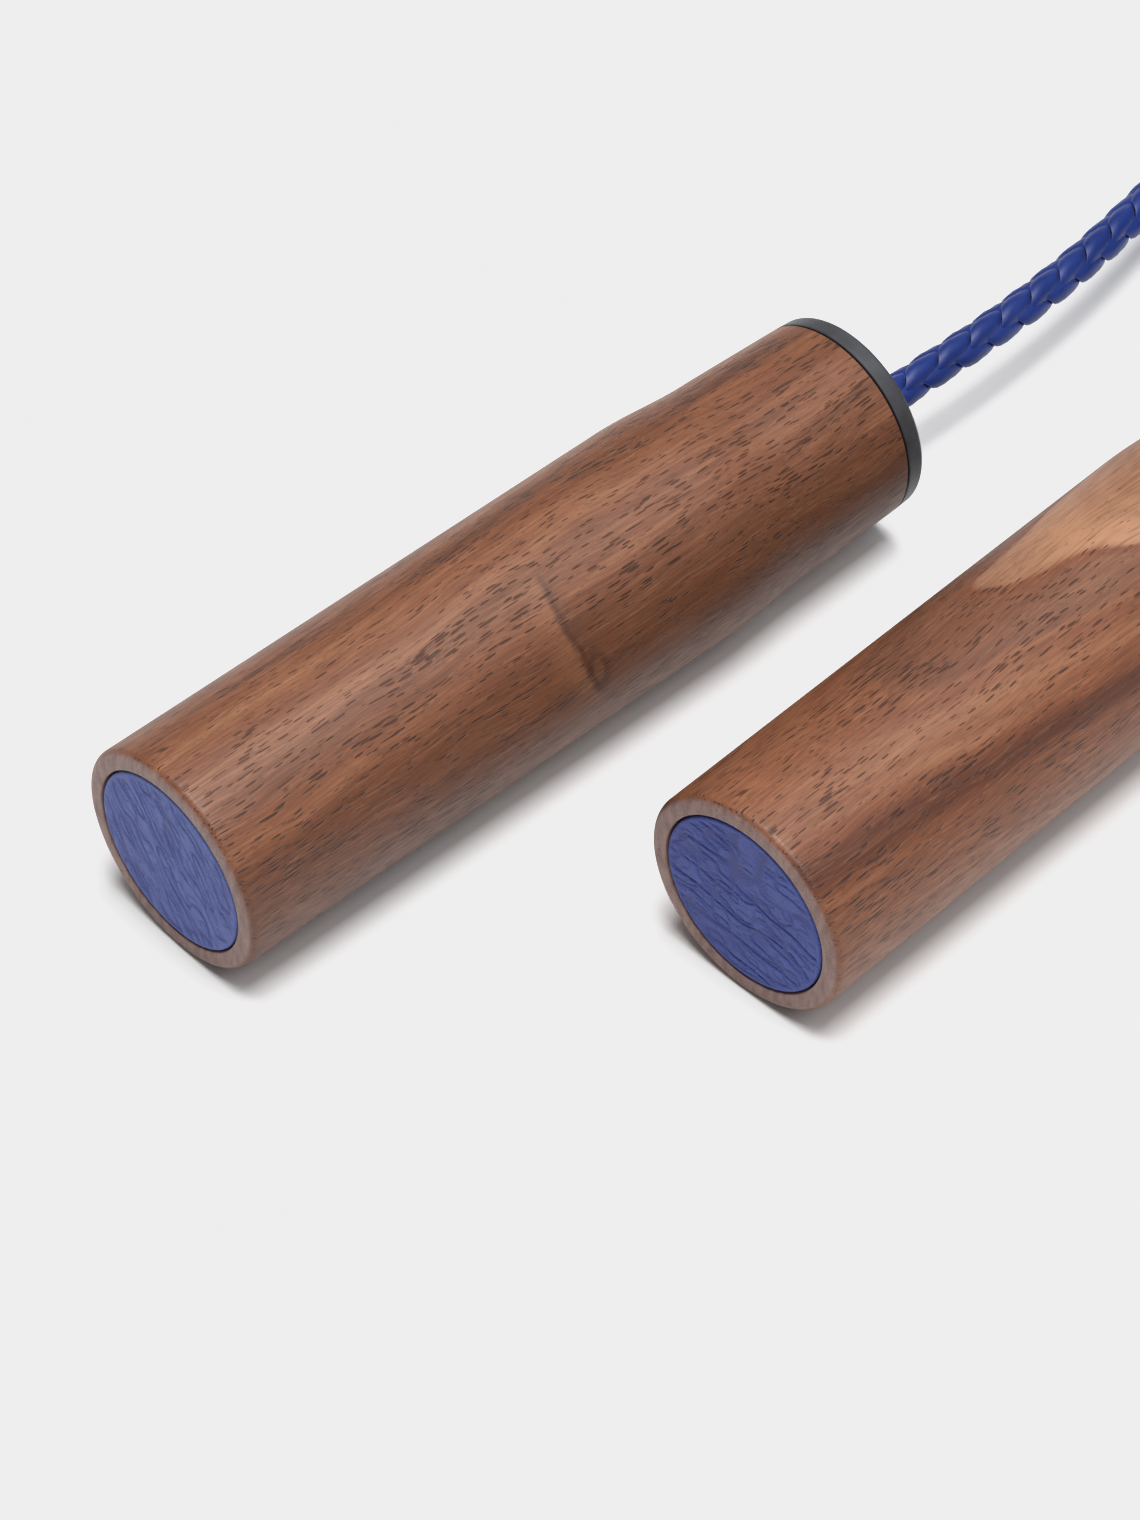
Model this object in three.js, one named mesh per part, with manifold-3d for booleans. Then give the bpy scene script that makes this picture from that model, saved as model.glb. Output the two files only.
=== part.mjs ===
// A jump rope: two turned walnut grips, each spinning on a ball bearing around the end of one
// braided leather rope. The rope lies on the floor and its spare length is wound into a tied coil.
// Millimetres, +Z up, +Y from the leather-capped ends of the grips towards the rope.
// The origin is the middle of the two grips' footprint, on the floor.

import * as THREE from "three";
import { mergeVertices } from "three/addons/utils/BufferGeometryUtils.js";
import Module from "manifold-3d";

const wasm = await Module();
wasm.setup();

// ---------------------------------------------------------------- clearances
const FIT = 0.25; // radial gap between rings that sit inside one another
const SEAT = 0.3; // gap between two faces that meet
const ROPE_CLEARANCE = 0.3; // radial gap between the rope and a hole that holds it
const CLIP_PLAY = 0.15; // radial gap between a circlip and the bottom of its groove

// ---------------------------------------------------------------- driving dimensions
const GRIP_DIAMETER = 35; // the long straight part of the walnut
const GRIP_LENGTH = 130.2; // leather face to the front of the metal cap
const GRIP_EDGE = 1.3; // rounded edge around the leather end
const NECK_STEP = 1.0; // how much smaller in radius the walnut is past its shoulder
const NECK_TAPER = 0.5; // further loss of radius from the shoulder to the cap
const SHOULDER_FROM_FRONT = 38; // where the shoulder starts, measured back from the front
const SHOULDER_LENGTH = 17;

const GRIP_RIM = 3.3; // walnut rim around the leather disc
const DISC_THICKNESS = 2.0;
const DISC_EDGE = 0.5;

const ROPE_DIAMETER = 6.0;
const ROPE_DROOP = 2.9; // how far below the grip's axis the rope leaves its mouth

const CAP_FLANGE = 2.9; // the metal ring that shows in front of the walnut
const CAP_EDGE = 0.8;
const CAP_WEB = 3.4; // thickness of the cap's front wall around the rope
const HOUSING_WALL = 1.5; // the cap's barrel around the bearing
const HOUSING_LAND = 1.5; // barrel left behind the circlip groove
const SHOULDER_STEP = 1.4; // the ledge that the outer race stops against
const MOUTH_PLAY = 0.4; // between the drooping rope and the cap's hole
const TUNNEL_DEPTH = 17.2; // front of the cap back to the spindle's mouth

const SPINDLE_WALL = 0.95;
const SPINDLE_FLANGE = 1.5; // thickness of its head
const SPINDLE_HEAD = 1.95; // how far its head stands proud of its barrel
const SPINDLE_LAND = 1.0; // barrel left behind its circlip groove
const SPINDLE_CHAMFER = 0.9; // trumpet at its mouth

const BALL_DIAMETER = 3.0;
const BALL_COUNT = 7;
const RACE_WALL = 1.0; // metal left under each ball track
const RACE_SHOULDER = 0.6; // height of the track's sides
const CAGE_WEB = 0.5; // cage left beside each ball pocket
const CAGE_PLAY = 0.5; // radial gap between the cage and the sides of each track
const SHIELD_THICKNESS = 0.4;
const SHIELD_INSET = 0.1;
const SHIELD_SEAT = 0.5; // step in the outer race that holds a shield

const CLIP_THICKNESS = 1.0;
const CLIP_WIDTH = 1.6; // radially
const CLIP_GAP_ANGLE = 0.7; // radians, the opening between a clip's ends
const HOUSING_GROOVE = 0.5; // depth
const SPINDLE_GROOVE = 0.35; // depth

const WASHER_THICKNESS = 1.0;
const WASHER_OVERLAP = 2.9; // washer beyond the rope hole
const FERRULE_LENGTH = 12;
const FERRULE_WALL = 1.3;
const CHAMBER_PLAY = 3.4; // space in the walnut around and behind the ferrule

// Where the rope leaves each cap, in X and Y, and how much the two grips lean together.
const LEFT_EXIT = [-26.708, 39.744];
const RIGHT_EXIT = [26.708, 90.456];
const GRIP_LEAN = THREE.MathUtils.degToRad(1.433);

// The coil of spare rope.
const COIL_CENTRE = [-3, 190];
const COIL_RADIUS_IN = 24; // centre of the innermost turn
const COIL_TURNS = 3; // in each layer
const COIL_LAYERS = 4;
const COIL_EDGE = 2.5;
const COIL_SIDE_GAP = 0.9; // between the coil and the last turn, which lies against its side
const FLOOR_GAP = 0.1; // under the rope where it lies on the floor

const TIE_WIDTH = 8;
const TIE_THICKNESS = 1.2;
const TIE_CORNER = 3;

// ---------------------------------------------------------------- sizes that follow
const ropeRadius = ROPE_DIAMETER / 2;
const ballRadius = BALL_DIAMETER / 2;
const gripRadius = GRIP_DIAMETER / 2;
const neckRadius = gripRadius - NECK_STEP;
const woodFrontRadius = neckRadius - NECK_TAPER;
const discRadius = gripRadius - GRIP_RIM;

const ropeHole = ropeRadius + ROPE_CLEARANCE;
const spindleRadius = ropeHole + SPINDLE_WALL;
const bearingBore = spindleRadius + FIT;
const innerTrack = bearingBore + RACE_WALL;
const pitchRadius = innerTrack + FIT + ballRadius;
const outerTrack = pitchRadius + ballRadius + FIT;
const bearingRadius = outerTrack + RACE_WALL;
const trackRadius = ballRadius + FIT;
const cageHalfWidth = trackRadius + CAGE_WEB;
const shieldInner = cageHalfWidth + FIT; // distance of a shield's inner face from mid-bearing
const bearingHalfWidth = shieldInner + SHIELD_THICKNESS + SHIELD_INSET;
const innerShoulder = innerTrack + RACE_SHOULDER;
const outerShoulder = outerTrack - RACE_SHOULDER;
const cageInside = innerShoulder + CAGE_PLAY;
const cageOutside = outerShoulder - CAGE_PLAY;

const housingBore = bearingRadius + FIT;
const barrelRadius = housingBore + HOUSING_WALL;
const woodBore = barrelRadius + SEAT;
const tunnelRadius = bearingRadius - SHOULDER_STEP;
const mouthRadius = ropeRadius + ROPE_DROOP + MOUTH_PLAY;
const ferruleRadius = ropeHole + FERRULE_WALL;
const washerRadius = ropeHole + WASHER_OVERLAP;
const chamberRadius = ferruleRadius + CHAMBER_PLAY;

// Stations along a grip's axis: 0 at the leather face, GRIP_LENGTH at the front of the cap.
const front = GRIP_LENGTH;
const flangeBack = front - CAP_FLANGE;
const woodFront = flangeBack - SEAT;
const webBack = front - CAP_WEB;
const spindleMouth = front - TUNNEL_DEPTH;
const headBack = spindleMouth - SPINDLE_FLANGE;
const bearingFront = headBack - SEAT;
const bearingMiddle = bearingFront - bearingHalfWidth;
const bearingBack = bearingMiddle - bearingHalfWidth;
const clipFront = bearingBack - FIT;
const clipBack = clipFront - CLIP_THICKNESS;
const grooveBack = clipBack - FIT;
const spindleBack = grooveBack - SPINDLE_LAND;
const barrelBack = grooveBack - HOUSING_LAND;
const washerFront = spindleBack - SEAT;
const washerBack = washerFront - WASHER_THICKNESS;
const ferruleFront = washerBack - SEAT;
const ferruleBack = ferruleFront - FERRULE_LENGTH;
const ferruleFloor = ferruleBack + FERRULE_WALL;
const ropeEnd = ferruleFloor + SEAT;
const chamberBack = ferruleBack - CHAMBER_PLAY;
const boreBack = barrelBack - SEAT;
const shoulderStart = front - SHOULDER_FROM_FRONT;
const shoulderEnd = shoulderStart + SHOULDER_LENGTH;

const floorLayer = ropeRadius + FLOOR_GAP;
const topLayer = floorLayer + (COIL_LAYERS - 1) * ROPE_DIAMETER;
const outerTurn = COIL_RADIUS_IN + COIL_TURNS * ROPE_DIAMETER;
const sideTurn = outerTurn + ROPE_DIAMETER + COIL_SIDE_GAP;
const coilTop = topLayer + ropeRadius + SEAT;
const coilInside = COIL_RADIUS_IN - ropeRadius - SEAT;
const coilOutside = outerTurn + ropeRadius + SEAT;

// ---------------------------------------------------------------- finishes
const finish = (color, roughness, metalness) => () =>
  new THREE.MeshStandardMaterial({ color, roughness, metalness });
const walnut = finish(0x8a6450, 0.55, 0);
const blueLeather = finish(0x50589a, 0.6, 0);
const blueRope = finish(0x2e3c86, 0.5, 0);
const anodised = finish(0x3c3c3f, 0.35, 1);
const bearingSteel = finish(0xb8babd, 0.2, 1);
const springSteel = finish(0x4a4b4e, 0.4, 1);
const nylon = finish(0xd9d2bd, 0.6, 0);
const brass = finish(0xb08d4f, 0.3, 1);

// ---------------------------------------------------------------- helpers
const mesh = (name, geometry, material) => {
  const made = new THREE.Mesh(geometry, material());
  made.name = name;
  return made;
};

// A body turned about the Y axis. The profile is a list of [radius, station], listed so that
// the metal or wood is on its left; it closes on itself unless it starts and ends on the axis.
const turned = (profile, segments) => {
  const points = profile.map(([radius, station]) => new THREE.Vector2(radius, station));
  const onAxis = profile[0][0] === 0 && profile.at(-1)[0] === 0;
  if (!onAxis) points.push(points[0].clone());
  return new THREE.LatheGeometry(points, segments);
};

// Points of an arc in the profile's plane, both ends included.
const arc = (radius, station, size, from, to, steps) =>
  Array.from({ length: steps + 1 }, (_, i) => {
    const angle = from + ((to - from) * i) / steps;
    return [radius + size * Math.cos(angle), station + size * Math.sin(angle)];
  });

const solidOf = (geometry) => {
  const bare = new THREE.BufferGeometry();
  bare.setAttribute("position", geometry.getAttribute("position"));
  bare.setIndex(geometry.getIndex());
  const merged = mergeVertices(bare, 1e-4);
  return new wasm.Manifold(
    new wasm.Mesh({
      numProp: 3,
      vertProperties: merged.attributes.position.array,
      triVerts: new Uint32Array(merged.index.array),
    }),
  );
};

const geometryOf = (solid) => {
  const { vertProperties, triVerts } = solid.getMesh();
  const geometry = new THREE.BufferGeometry();
  geometry.setAttribute("position", new THREE.BufferAttribute(vertProperties, 3));
  geometry.setIndex(new THREE.BufferAttribute(triVerts, 1));
  geometry.computeVertexNormals();
  return geometry;
};

// ---------------------------------------------------------------- pieces that turn with a grip
const WOOD_SIDES = 32;
const CAP_SIDES = 28;
const RACE_SIDES = 20;
const SMALL_SIDES = 16;

// Solid walnut, straight for most of its length, with a soft shoulder down to a slimmer neck.
const gripWood = () => {
  const shoulder = (t) => neckRadius + (NECK_STEP * (1 + Math.cos(Math.PI * t))) / 2;
  const shoulderSteps = 5;
  const shoulderPoints = Array.from({ length: shoulderSteps + 1 }, (_, i) => {
    const t = i / shoulderSteps;
    return [shoulder(t), shoulderStart + t * SHOULDER_LENGTH];
  });
  const recess = discRadius + FIT;
  const recessFloor = DISC_THICKNESS + SEAT;
  const edge = arc(gripRadius - GRIP_EDGE, GRIP_EDGE, GRIP_EDGE, -Math.PI / 2, 0, 2);
  return turned(
    [
      [0, recessFloor],
      [recess, recessFloor],
      [recess, 0],
      ...edge,
      ...shoulderPoints,
      [woodFrontRadius, woodFront],
      [woodBore, woodFront],
      [woodBore, boreBack],
      [chamberRadius, boreBack],
      [chamberRadius, chamberBack],
      [0, chamberBack],
    ],
    WOOD_SIDES,
  );
};

const leatherDisc = () =>
  turned(
    [
      [0, 0],
      [discRadius - DISC_EDGE, 0],
      [discRadius, DISC_EDGE],
      [discRadius, DISC_THICKNESS],
      [0, DISC_THICKNESS],
    ],
    WOOD_SIDES,
  );

// One turned cap: a flange that covers the walnut's end, and a barrel that holds the bearing.
const endCap = () => {
  const flangeFrontRadius = woodFrontRadius - CAP_EDGE / 2;
  return turned(
    [
      [barrelRadius, barrelBack],
      [barrelRadius, flangeBack],
      [woodFrontRadius, flangeBack],
      [woodFrontRadius - CAP_EDGE / 8, front - CAP_EDGE],
      [flangeFrontRadius, front - CAP_EDGE / 4],
      [flangeFrontRadius - CAP_EDGE, front],
      [mouthRadius + CAP_EDGE, front],
      [mouthRadius, front - CAP_EDGE],
      [mouthRadius, webBack],
      [tunnelRadius, webBack],
      [tunnelRadius, headBack],
      [housingBore, headBack],
      [housingBore, bearingBack],
      [housingBore + HOUSING_GROOVE, bearingBack],
      [housingBore + HOUSING_GROOVE, grooveBack],
      [housingBore, grooveBack],
      [housingBore, barrelBack],
    ],
    CAP_SIDES,
  );
};

// Half the angle that a ball track takes up, from its shoulder height.
const trackAngle = Math.acos((trackRadius - RACE_SHOULDER) / trackRadius);
const TRACK_STEPS = 4;

const outerRace = () => {
  const back = bearingBack;
  const seat = outerShoulder + SHIELD_SEAT;
  const seatDepth = bearingHalfWidth - shieldInner + FIT / 2;
  const track = arc(pitchRadius, bearingMiddle, trackRadius, trackAngle, -trackAngle, TRACK_STEPS);
  return turned(
    [
      [seat, back],
      [bearingRadius, back],
      [bearingRadius, bearingFront],
      [seat, bearingFront],
      [seat, bearingFront - seatDepth],
      [outerShoulder, bearingFront - seatDepth],
      ...track,
      [outerShoulder, back + seatDepth],
      [seat, back + seatDepth],
    ],
    RACE_SIDES,
  );
};

const shield = (innerStation) =>
  turned(
    [
      [innerShoulder + FIT, innerStation],
      [outerShoulder + FIT, innerStation],
      [outerShoulder + FIT, innerStation + SHIELD_THICKNESS],
      [innerShoulder + FIT, innerStation + SHIELD_THICKNESS],
    ],
    RACE_SIDES,
  );

// A C-shaped spring clip between two radii, lying across the axis from station `from` forwards.
const circlip = (inner, outer, from) => {
  const outline = new THREE.Shape();
  const start = CLIP_GAP_ANGLE / 2;
  const end = 2 * Math.PI - CLIP_GAP_ANGLE / 2;
  outline.absarc(0, 0, outer, start, end, false);
  outline.absarc(0, 0, inner, end, start, true);
  const geometry = new THREE.ExtrudeGeometry(outline, {
    depth: CLIP_THICKNESS,
    bevelEnabled: false,
    curveSegments: RACE_SIDES,
  });
  geometry.rotateX(-Math.PI / 2);
  geometry.translate(0, from, 0);
  return geometry;
};

// ---------------------------------------------------------------- pieces that stay with the rope
const innerRace = () => {
  const track = arc(
    pitchRadius,
    bearingMiddle,
    trackRadius,
    Math.PI + trackAngle,
    Math.PI - trackAngle,
    TRACK_STEPS,
  );
  return turned(
    [
      [bearingBore, bearingBack],
      [innerShoulder, bearingBack],
      ...track,
      [innerShoulder, bearingFront],
      [bearingBore, bearingFront],
    ],
    RACE_SIDES,
  );
};

const spindle = () =>
  turned(
    [
      [ropeHole, spindleBack],
      [spindleRadius, spindleBack],
      [spindleRadius, grooveBack],
      [spindleRadius - SPINDLE_GROOVE, grooveBack],
      [spindleRadius - SPINDLE_GROOVE, bearingBack],
      [spindleRadius, bearingBack],
      [spindleRadius, headBack],
      [spindleRadius + SPINDLE_HEAD, headBack],
      [spindleRadius + SPINDLE_HEAD, spindleMouth],
      [ropeHole + SPINDLE_CHAMFER, spindleMouth],
      [ropeHole, spindleMouth - SPINDLE_CHAMFER],
    ],
    SMALL_SIDES,
  );

const stopWasher = () =>
  turned(
    [
      [ropeHole, washerBack],
      [washerRadius, washerBack],
      [washerRadius, washerFront],
      [ropeHole, washerFront],
    ],
    SMALL_SIDES,
  );

const ferrule = () =>
  turned(
    [
      [0, ferruleBack],
      [ferruleRadius, ferruleBack],
      [ferruleRadius, ferruleFront],
      [ropeHole, ferruleFront],
      [ropeHole, ferruleFloor],
      [0, ferruleFloor],
    ],
    SMALL_SIDES,
  );

// ---------------------------------------------------------------- pieces that roll between
const cage = () => {
  const ring = turned(
    [
      [cageInside, bearingMiddle - cageHalfWidth],
      [cageOutside, bearingMiddle - cageHalfWidth],
      [cageOutside, bearingMiddle + cageHalfWidth],
      [cageInside, bearingMiddle + cageHalfWidth],
    ],
    BALL_COUNT * 3,
  );
  let body = solidOf(ring);
  for (let i = 0; i < BALL_COUNT; i += 1) {
    const depth = 2 * (cageOutside - cageInside);
    const pocket = new THREE.CylinderGeometry(trackRadius, trackRadius, depth, 12);
    pocket.rotateX(Math.PI / 2);
    pocket.translate(0, 0, pitchRadius);
    pocket.rotateY((2 * Math.PI * i) / BALL_COUNT);
    pocket.translate(0, bearingMiddle, 0);
    body = body.subtract(solidOf(pocket));
  }
  return geometryOf(body);
};

const ball = (index) => {
  const geometry = new THREE.SphereGeometry(ballRadius, 8, 6);
  geometry.translate(0, 0, pitchRadius);
  geometry.rotateY((2 * Math.PI * index) / BALL_COUNT);
  geometry.translate(0, bearingMiddle, 0);
  return geometry;
};

// ---------------------------------------------------------------- one whole grip
// Its local Y axis runs from the leather face to the cap; the front of the cap lands on the exit.
const grip = (side, [exitX, exitY], lean) => {
  const group = new THREE.Group();
  group.rotation.z = lean;
  group.position.set(exitX + front * Math.sin(lean), exitY - front * Math.cos(lean), gripRadius);
  const clipOuter = housingBore + HOUSING_GROOVE - CLIP_PLAY;
  const clipInner = spindleRadius - SPINDLE_GROOVE + CLIP_PLAY;
  group.add(
    mesh(`${side}_grip`, gripWood(), walnut),
    mesh(`${side}_leather_disc`, leatherDisc(), blueLeather),
    mesh(`${side}_end_cap`, endCap(), anodised),
    mesh(`${side}_outer_race`, outerRace(), bearingSteel),
    mesh(`${side}_front_shield`, shield(bearingMiddle + shieldInner), bearingSteel),
    mesh(`${side}_rear_shield`, shield(bearingBack + SHIELD_INSET), bearingSteel),
    mesh(`${side}_housing_circlip`, circlip(clipOuter - CLIP_WIDTH, clipOuter, clipBack), springSteel),
    mesh(`${side}_ball_cage`, cage(), nylon),
    mesh(`${side}_inner_race`, innerRace(), bearingSteel),
    mesh(`${side}_spindle`, spindle(), anodised),
    mesh(`${side}_spindle_circlip`, circlip(clipInner, clipInner + CLIP_WIDTH, clipBack), springSteel),
    mesh(`${side}_stop_washer`, stopWasher(), brass),
    mesh(`${side}_rope_ferrule`, ferrule(), brass),
  );
  for (let i = 0; i < BALL_COUNT; i += 1) {
    group.add(mesh(`${side}_ball_${i + 1}`, ball(i), bearingSteel));
  }
  return group;
};

// ---------------------------------------------------------------- the rope
// Centre points inside a grip: straight through the ferrule and spindle, then down to the cap's mouth.
const insideGrip = ([exitX, exitY], lean) => {
  const straight = spindleMouth + SPINDLE_CHAMFER / 2;
  const stations = [
    [ropeEnd, 0],
    [(ropeEnd + straight) / 2, 0],
    [(ropeEnd + 3 * straight) / 4, 0],
    [straight, 0],
    [straight + (front - straight) / 3, -0.28 * ROPE_DROOP],
    [straight + (2 * (front - straight)) / 3, -0.74 * ROPE_DROOP],
    [front, -ROPE_DROOP],
  ];
  return stations.map(([station, height]) => {
    const behind = front - station;
    return new THREE.Vector3(
      exitX + behind * Math.sin(lean),
      exitY - behind * Math.cos(lean),
      gripRadius + height,
    );
  });
};

const LEFT_ROUTE = [
  [-26.5, 47, 14.6],
  [-26.3, 56, 14.5],
  [-26.1, 65, 14.3],
  [-26.3, 75, 13.9],
  [-26.9, 85, 13.4],
  [-28.0, 95, 12.8],
  [-29.6, 105, 12.1],
  [-31.6, 115, 11.2],
  [-33.9, 125, 10.0],
  [-36.5, 135, 8.5],
  [-39.1, 145, 6.7],
  [-41.5, 155, 5.0],
  [-43.4, 165, 3.8],
  [-44.6, 175, 3.2],
  [-45.1, 184, 3.1],
];

const RIGHT_ROUTE = [
  [26.5, 98, 14.6],
  [26.6, 106, 14.5],
  [27.4, 114, 14.2],
  [29.0, 122, 13.8],
  [31.3, 130, 13.2],
  [34.1, 138, 12.4],
  [37.1, 146, 11.5],
  [40.0, 154, 10.3],
  [42.5, 162, 8.8],
  [44.5, 170, 7.1],
  [45.8, 179, 5.4],
  [46.1, 188, 4.1],
];

// The last turn: along the floor beside the coil, then up its side to its top.
const sideWrap = () => {
  const points = [];
  const step = THREE.MathUtils.degToRad(12);
  const floorUntil = THREE.MathUtils.degToRad(48);
  const topFrom = THREE.MathUtils.degToRad(168);
  const inTopLayer = THREE.MathUtils.degToRad(228);
  const ease = (t) => {
    const clamped = Math.min(Math.max(t, 0), 1);
    return (1 - Math.cos(Math.PI * clamped)) / 2;
  };
  for (let angle = step; angle < inTopLayer; angle += step) {
    const climb = ease((angle - floorUntil) / (topFrom - floorUntil));
    const inward = ease((angle - topFrom) / (inTopLayer - topFrom));
    const radius = sideTurn + (outerTurn - sideTurn) * inward;
    points.push([
      COIL_CENTRE[0] + radius * Math.cos(angle),
      COIL_CENTRE[1] + radius * Math.sin(angle),
      floorLayer + (topLayer - floorLayer) * climb,
    ]);
  }
  return points;
};

const ropeTube = (points, steps) => {
  const sides = 8;
  const section = new THREE.Shape(
    Array.from({ length: sides }, (_, i) => {
      const angle = (2 * Math.PI * (i + 0.5)) / sides;
      return new THREE.Vector2(ropeRadius * Math.cos(angle), ropeRadius * Math.sin(angle));
    }),
  );
  const path = new THREE.CatmullRomCurve3(points, false, "centripetal");
  return new THREE.ExtrudeGeometry(section, { steps, bevelEnabled: false, extrudePath: path });
};

// The outer shape of the coil, optionally grown by a gap all round.
const coilRing = (gap) => {
  const inside = coilInside - gap;
  const outside = coilOutside + gap;
  const bottom = -gap;
  const top = coilTop + gap;
  const geometry = turned(
    [
      [inside + COIL_EDGE, bottom],
      [outside - COIL_EDGE, bottom],
      [outside, bottom + COIL_EDGE],
      [outside, top - COIL_EDGE],
      [outside - COIL_EDGE, top],
      [inside + COIL_EDGE, top],
      [inside, top - COIL_EDGE],
      [inside, bottom + COIL_EDGE],
    ],
    40,
  );
  geometry.rotateX(Math.PI / 2);
  geometry.translate(COIL_CENTRE[0], COIL_CENTRE[1], 0);
  return geometry;
};

// The coil has a shallow notch in its underside where the tie runs under it.
const ropeCoil = () => {
  const length = coilOutside - coilInside + 2 * TIE_CORNER;
  const height = TIE_THICKNESS + SEAT;
  const notch = new THREE.BoxGeometry(TIE_WIDTH + 2 * SEAT, length, 2 * height);
  notch.translate(COIL_CENTRE[0], COIL_CENTRE[1] - (coilInside + coilOutside) / 2, 0);
  return geometryOf(solidOf(coilRing(0)).subtract(solidOf(notch)));
};

const lead = (exit, lean, route, steps) => {
  const points = insideGrip(exit, lean).concat(route.map((p) => new THREE.Vector3(...p)));
  const tube = solidOf(ropeTube(points, steps));
  return geometryOf(tube.subtract(solidOf(coilRing(SEAT))));
};

const roundedLoop = (path, left, right, bottom, top, corner) => {
  path.moveTo(right, bottom + corner);
  path.absarc(right - corner, top - corner, corner, 0, Math.PI / 2, false);
  path.absarc(left + corner, top - corner, corner, Math.PI / 2, Math.PI, false);
  path.absarc(left + corner, bottom + corner, corner, Math.PI, 1.5 * Math.PI, false);
  path.absarc(right - corner, bottom + corner, corner, 1.5 * Math.PI, 2 * Math.PI, false);
  return path;
};

// A leather strap in a loop around the coil's bundle, on the side that faces the grips.
const ropeTie = () => {
  const insideAtTie = Math.sqrt(coilInside ** 2 - (TIE_WIDTH / 2) ** 2);
  const left = insideAtTie - SEAT;
  const right = coilOutside + SEAT;
  const bottom = TIE_THICKNESS;
  const top = coilTop + SEAT;
  const wall = TIE_THICKNESS;
  const outline = roundedLoop(
    new THREE.Shape(),
    left - wall,
    right + wall,
    bottom - wall,
    top + wall,
    TIE_CORNER,
  );
  outline.holes.push(
    roundedLoop(new THREE.Path(), left, right, bottom, top, TIE_CORNER - wall),
  );
  const geometry = new THREE.ExtrudeGeometry(outline, {
    depth: TIE_WIDTH,
    bevelEnabled: false,
    curveSegments: 3,
  });
  geometry.translate(0, 0, -TIE_WIDTH / 2);
  const outwards = new THREE.Vector3(0, -1, 0);
  const up = new THREE.Vector3(0, 0, 1);
  const across = new THREE.Vector3(-1, 0, 0);
  geometry.applyMatrix4(new THREE.Matrix4().makeBasis(outwards, up, across));
  geometry.translate(COIL_CENTRE[0], COIL_CENTRE[1], 0);
  return geometry;
};

// ---------------------------------------------------------------- the whole jump rope
const jumpRope = new THREE.Group();
jumpRope.name = "jump_rope";
jumpRope.add(
  grip("left", LEFT_EXIT, -GRIP_LEAN),
  grip("right", RIGHT_EXIT, GRIP_LEAN),
  mesh("rope_left_lead", lead(LEFT_EXIT, -GRIP_LEAN, LEFT_ROUTE, 26), blueRope),
  mesh("rope_right_lead", lead(RIGHT_EXIT, GRIP_LEAN, RIGHT_ROUTE.concat(sideWrap()), 52), blueRope),
  mesh("rope_coil", ropeCoil(), blueRope),
  mesh("rope_tie", ropeTie(), blueLeather),
);

export default jumpRope;
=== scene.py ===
# %% [markdown]
# # A jump rope with walnut grips
# Two turned walnut grips lie side by side on a pale table. A blue leather disc
# closes one end of each, and a braided leather rope leaves the other end
# through a dark metal cap. The rope runs away behind the grips into a coil.
# Every visible skin below is worked out as a surface with numpy and put in the
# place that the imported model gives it. Shapes are worked out in millimetres
# until the moment a mesh is made, while the camera, the lights and the table
# are in metres, as Blender keeps them.

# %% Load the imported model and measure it
import math

import bmesh
import bpy
import numpy as np
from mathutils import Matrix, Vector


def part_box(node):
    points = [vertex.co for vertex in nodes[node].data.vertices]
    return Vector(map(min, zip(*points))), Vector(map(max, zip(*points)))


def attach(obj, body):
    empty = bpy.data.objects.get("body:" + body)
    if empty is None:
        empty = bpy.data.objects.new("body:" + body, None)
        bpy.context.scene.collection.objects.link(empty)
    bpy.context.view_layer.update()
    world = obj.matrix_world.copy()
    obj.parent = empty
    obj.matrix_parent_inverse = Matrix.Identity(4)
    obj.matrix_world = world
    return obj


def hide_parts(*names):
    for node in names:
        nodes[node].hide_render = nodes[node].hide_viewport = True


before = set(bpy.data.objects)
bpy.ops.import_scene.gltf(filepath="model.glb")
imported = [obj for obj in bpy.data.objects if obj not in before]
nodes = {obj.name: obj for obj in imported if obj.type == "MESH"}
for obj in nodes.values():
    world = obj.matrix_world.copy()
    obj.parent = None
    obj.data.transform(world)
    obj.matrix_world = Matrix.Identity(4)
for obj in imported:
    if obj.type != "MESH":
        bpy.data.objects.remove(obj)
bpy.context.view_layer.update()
print("loaded", len(nodes), "nodes of the jump rope")

# %% [markdown]
# ## The camera
# The view is from above and from the leather end, through a long lens, so
# that both grips run away from us almost in parallel. A long lens from far away
# flattens perspective, and a short one from nearby would make the near ends
# swell. The camera comes first, because the rope is put away outside its view.

# %% Camera
LOOK_DOWN = 47.966
LOOK_ROUND = 45.89
camera_data = bpy.data.cameras.new("studio_camera")
camera_data.lens = 120.2
camera_data.sensor_width = 36.0
camera_data.clip_end = 50.0
camera = bpy.data.objects.new("studio_camera", camera_data)
camera.location = (0.33340, -0.36644, 0.54092)
camera.rotation_euler = (math.radians(90 - LOOK_DOWN), 0.0, math.radians(LOOK_ROUND))
bpy.context.collection.objects.link(camera)
bpy.context.scene.camera = camera
print("camera at", [round(v, 3) for v in camera.location], "looking", LOOK_DOWN, "degrees down")

# %% [markdown]
# ## Meshes from arrays
# A mesh is a list of points and a list of faces. Adding faces one at a time
# with operators is slow and hard to read. Here a whole grid of points is worked
# out at once and its faces are counted out with array arithmetic, so one helper
# serves every piece. Its last step turns all faces outwards, and the finished
# object stays at the origin.

# %% Helpers that make a mesh piece
MM = 0.001


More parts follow.
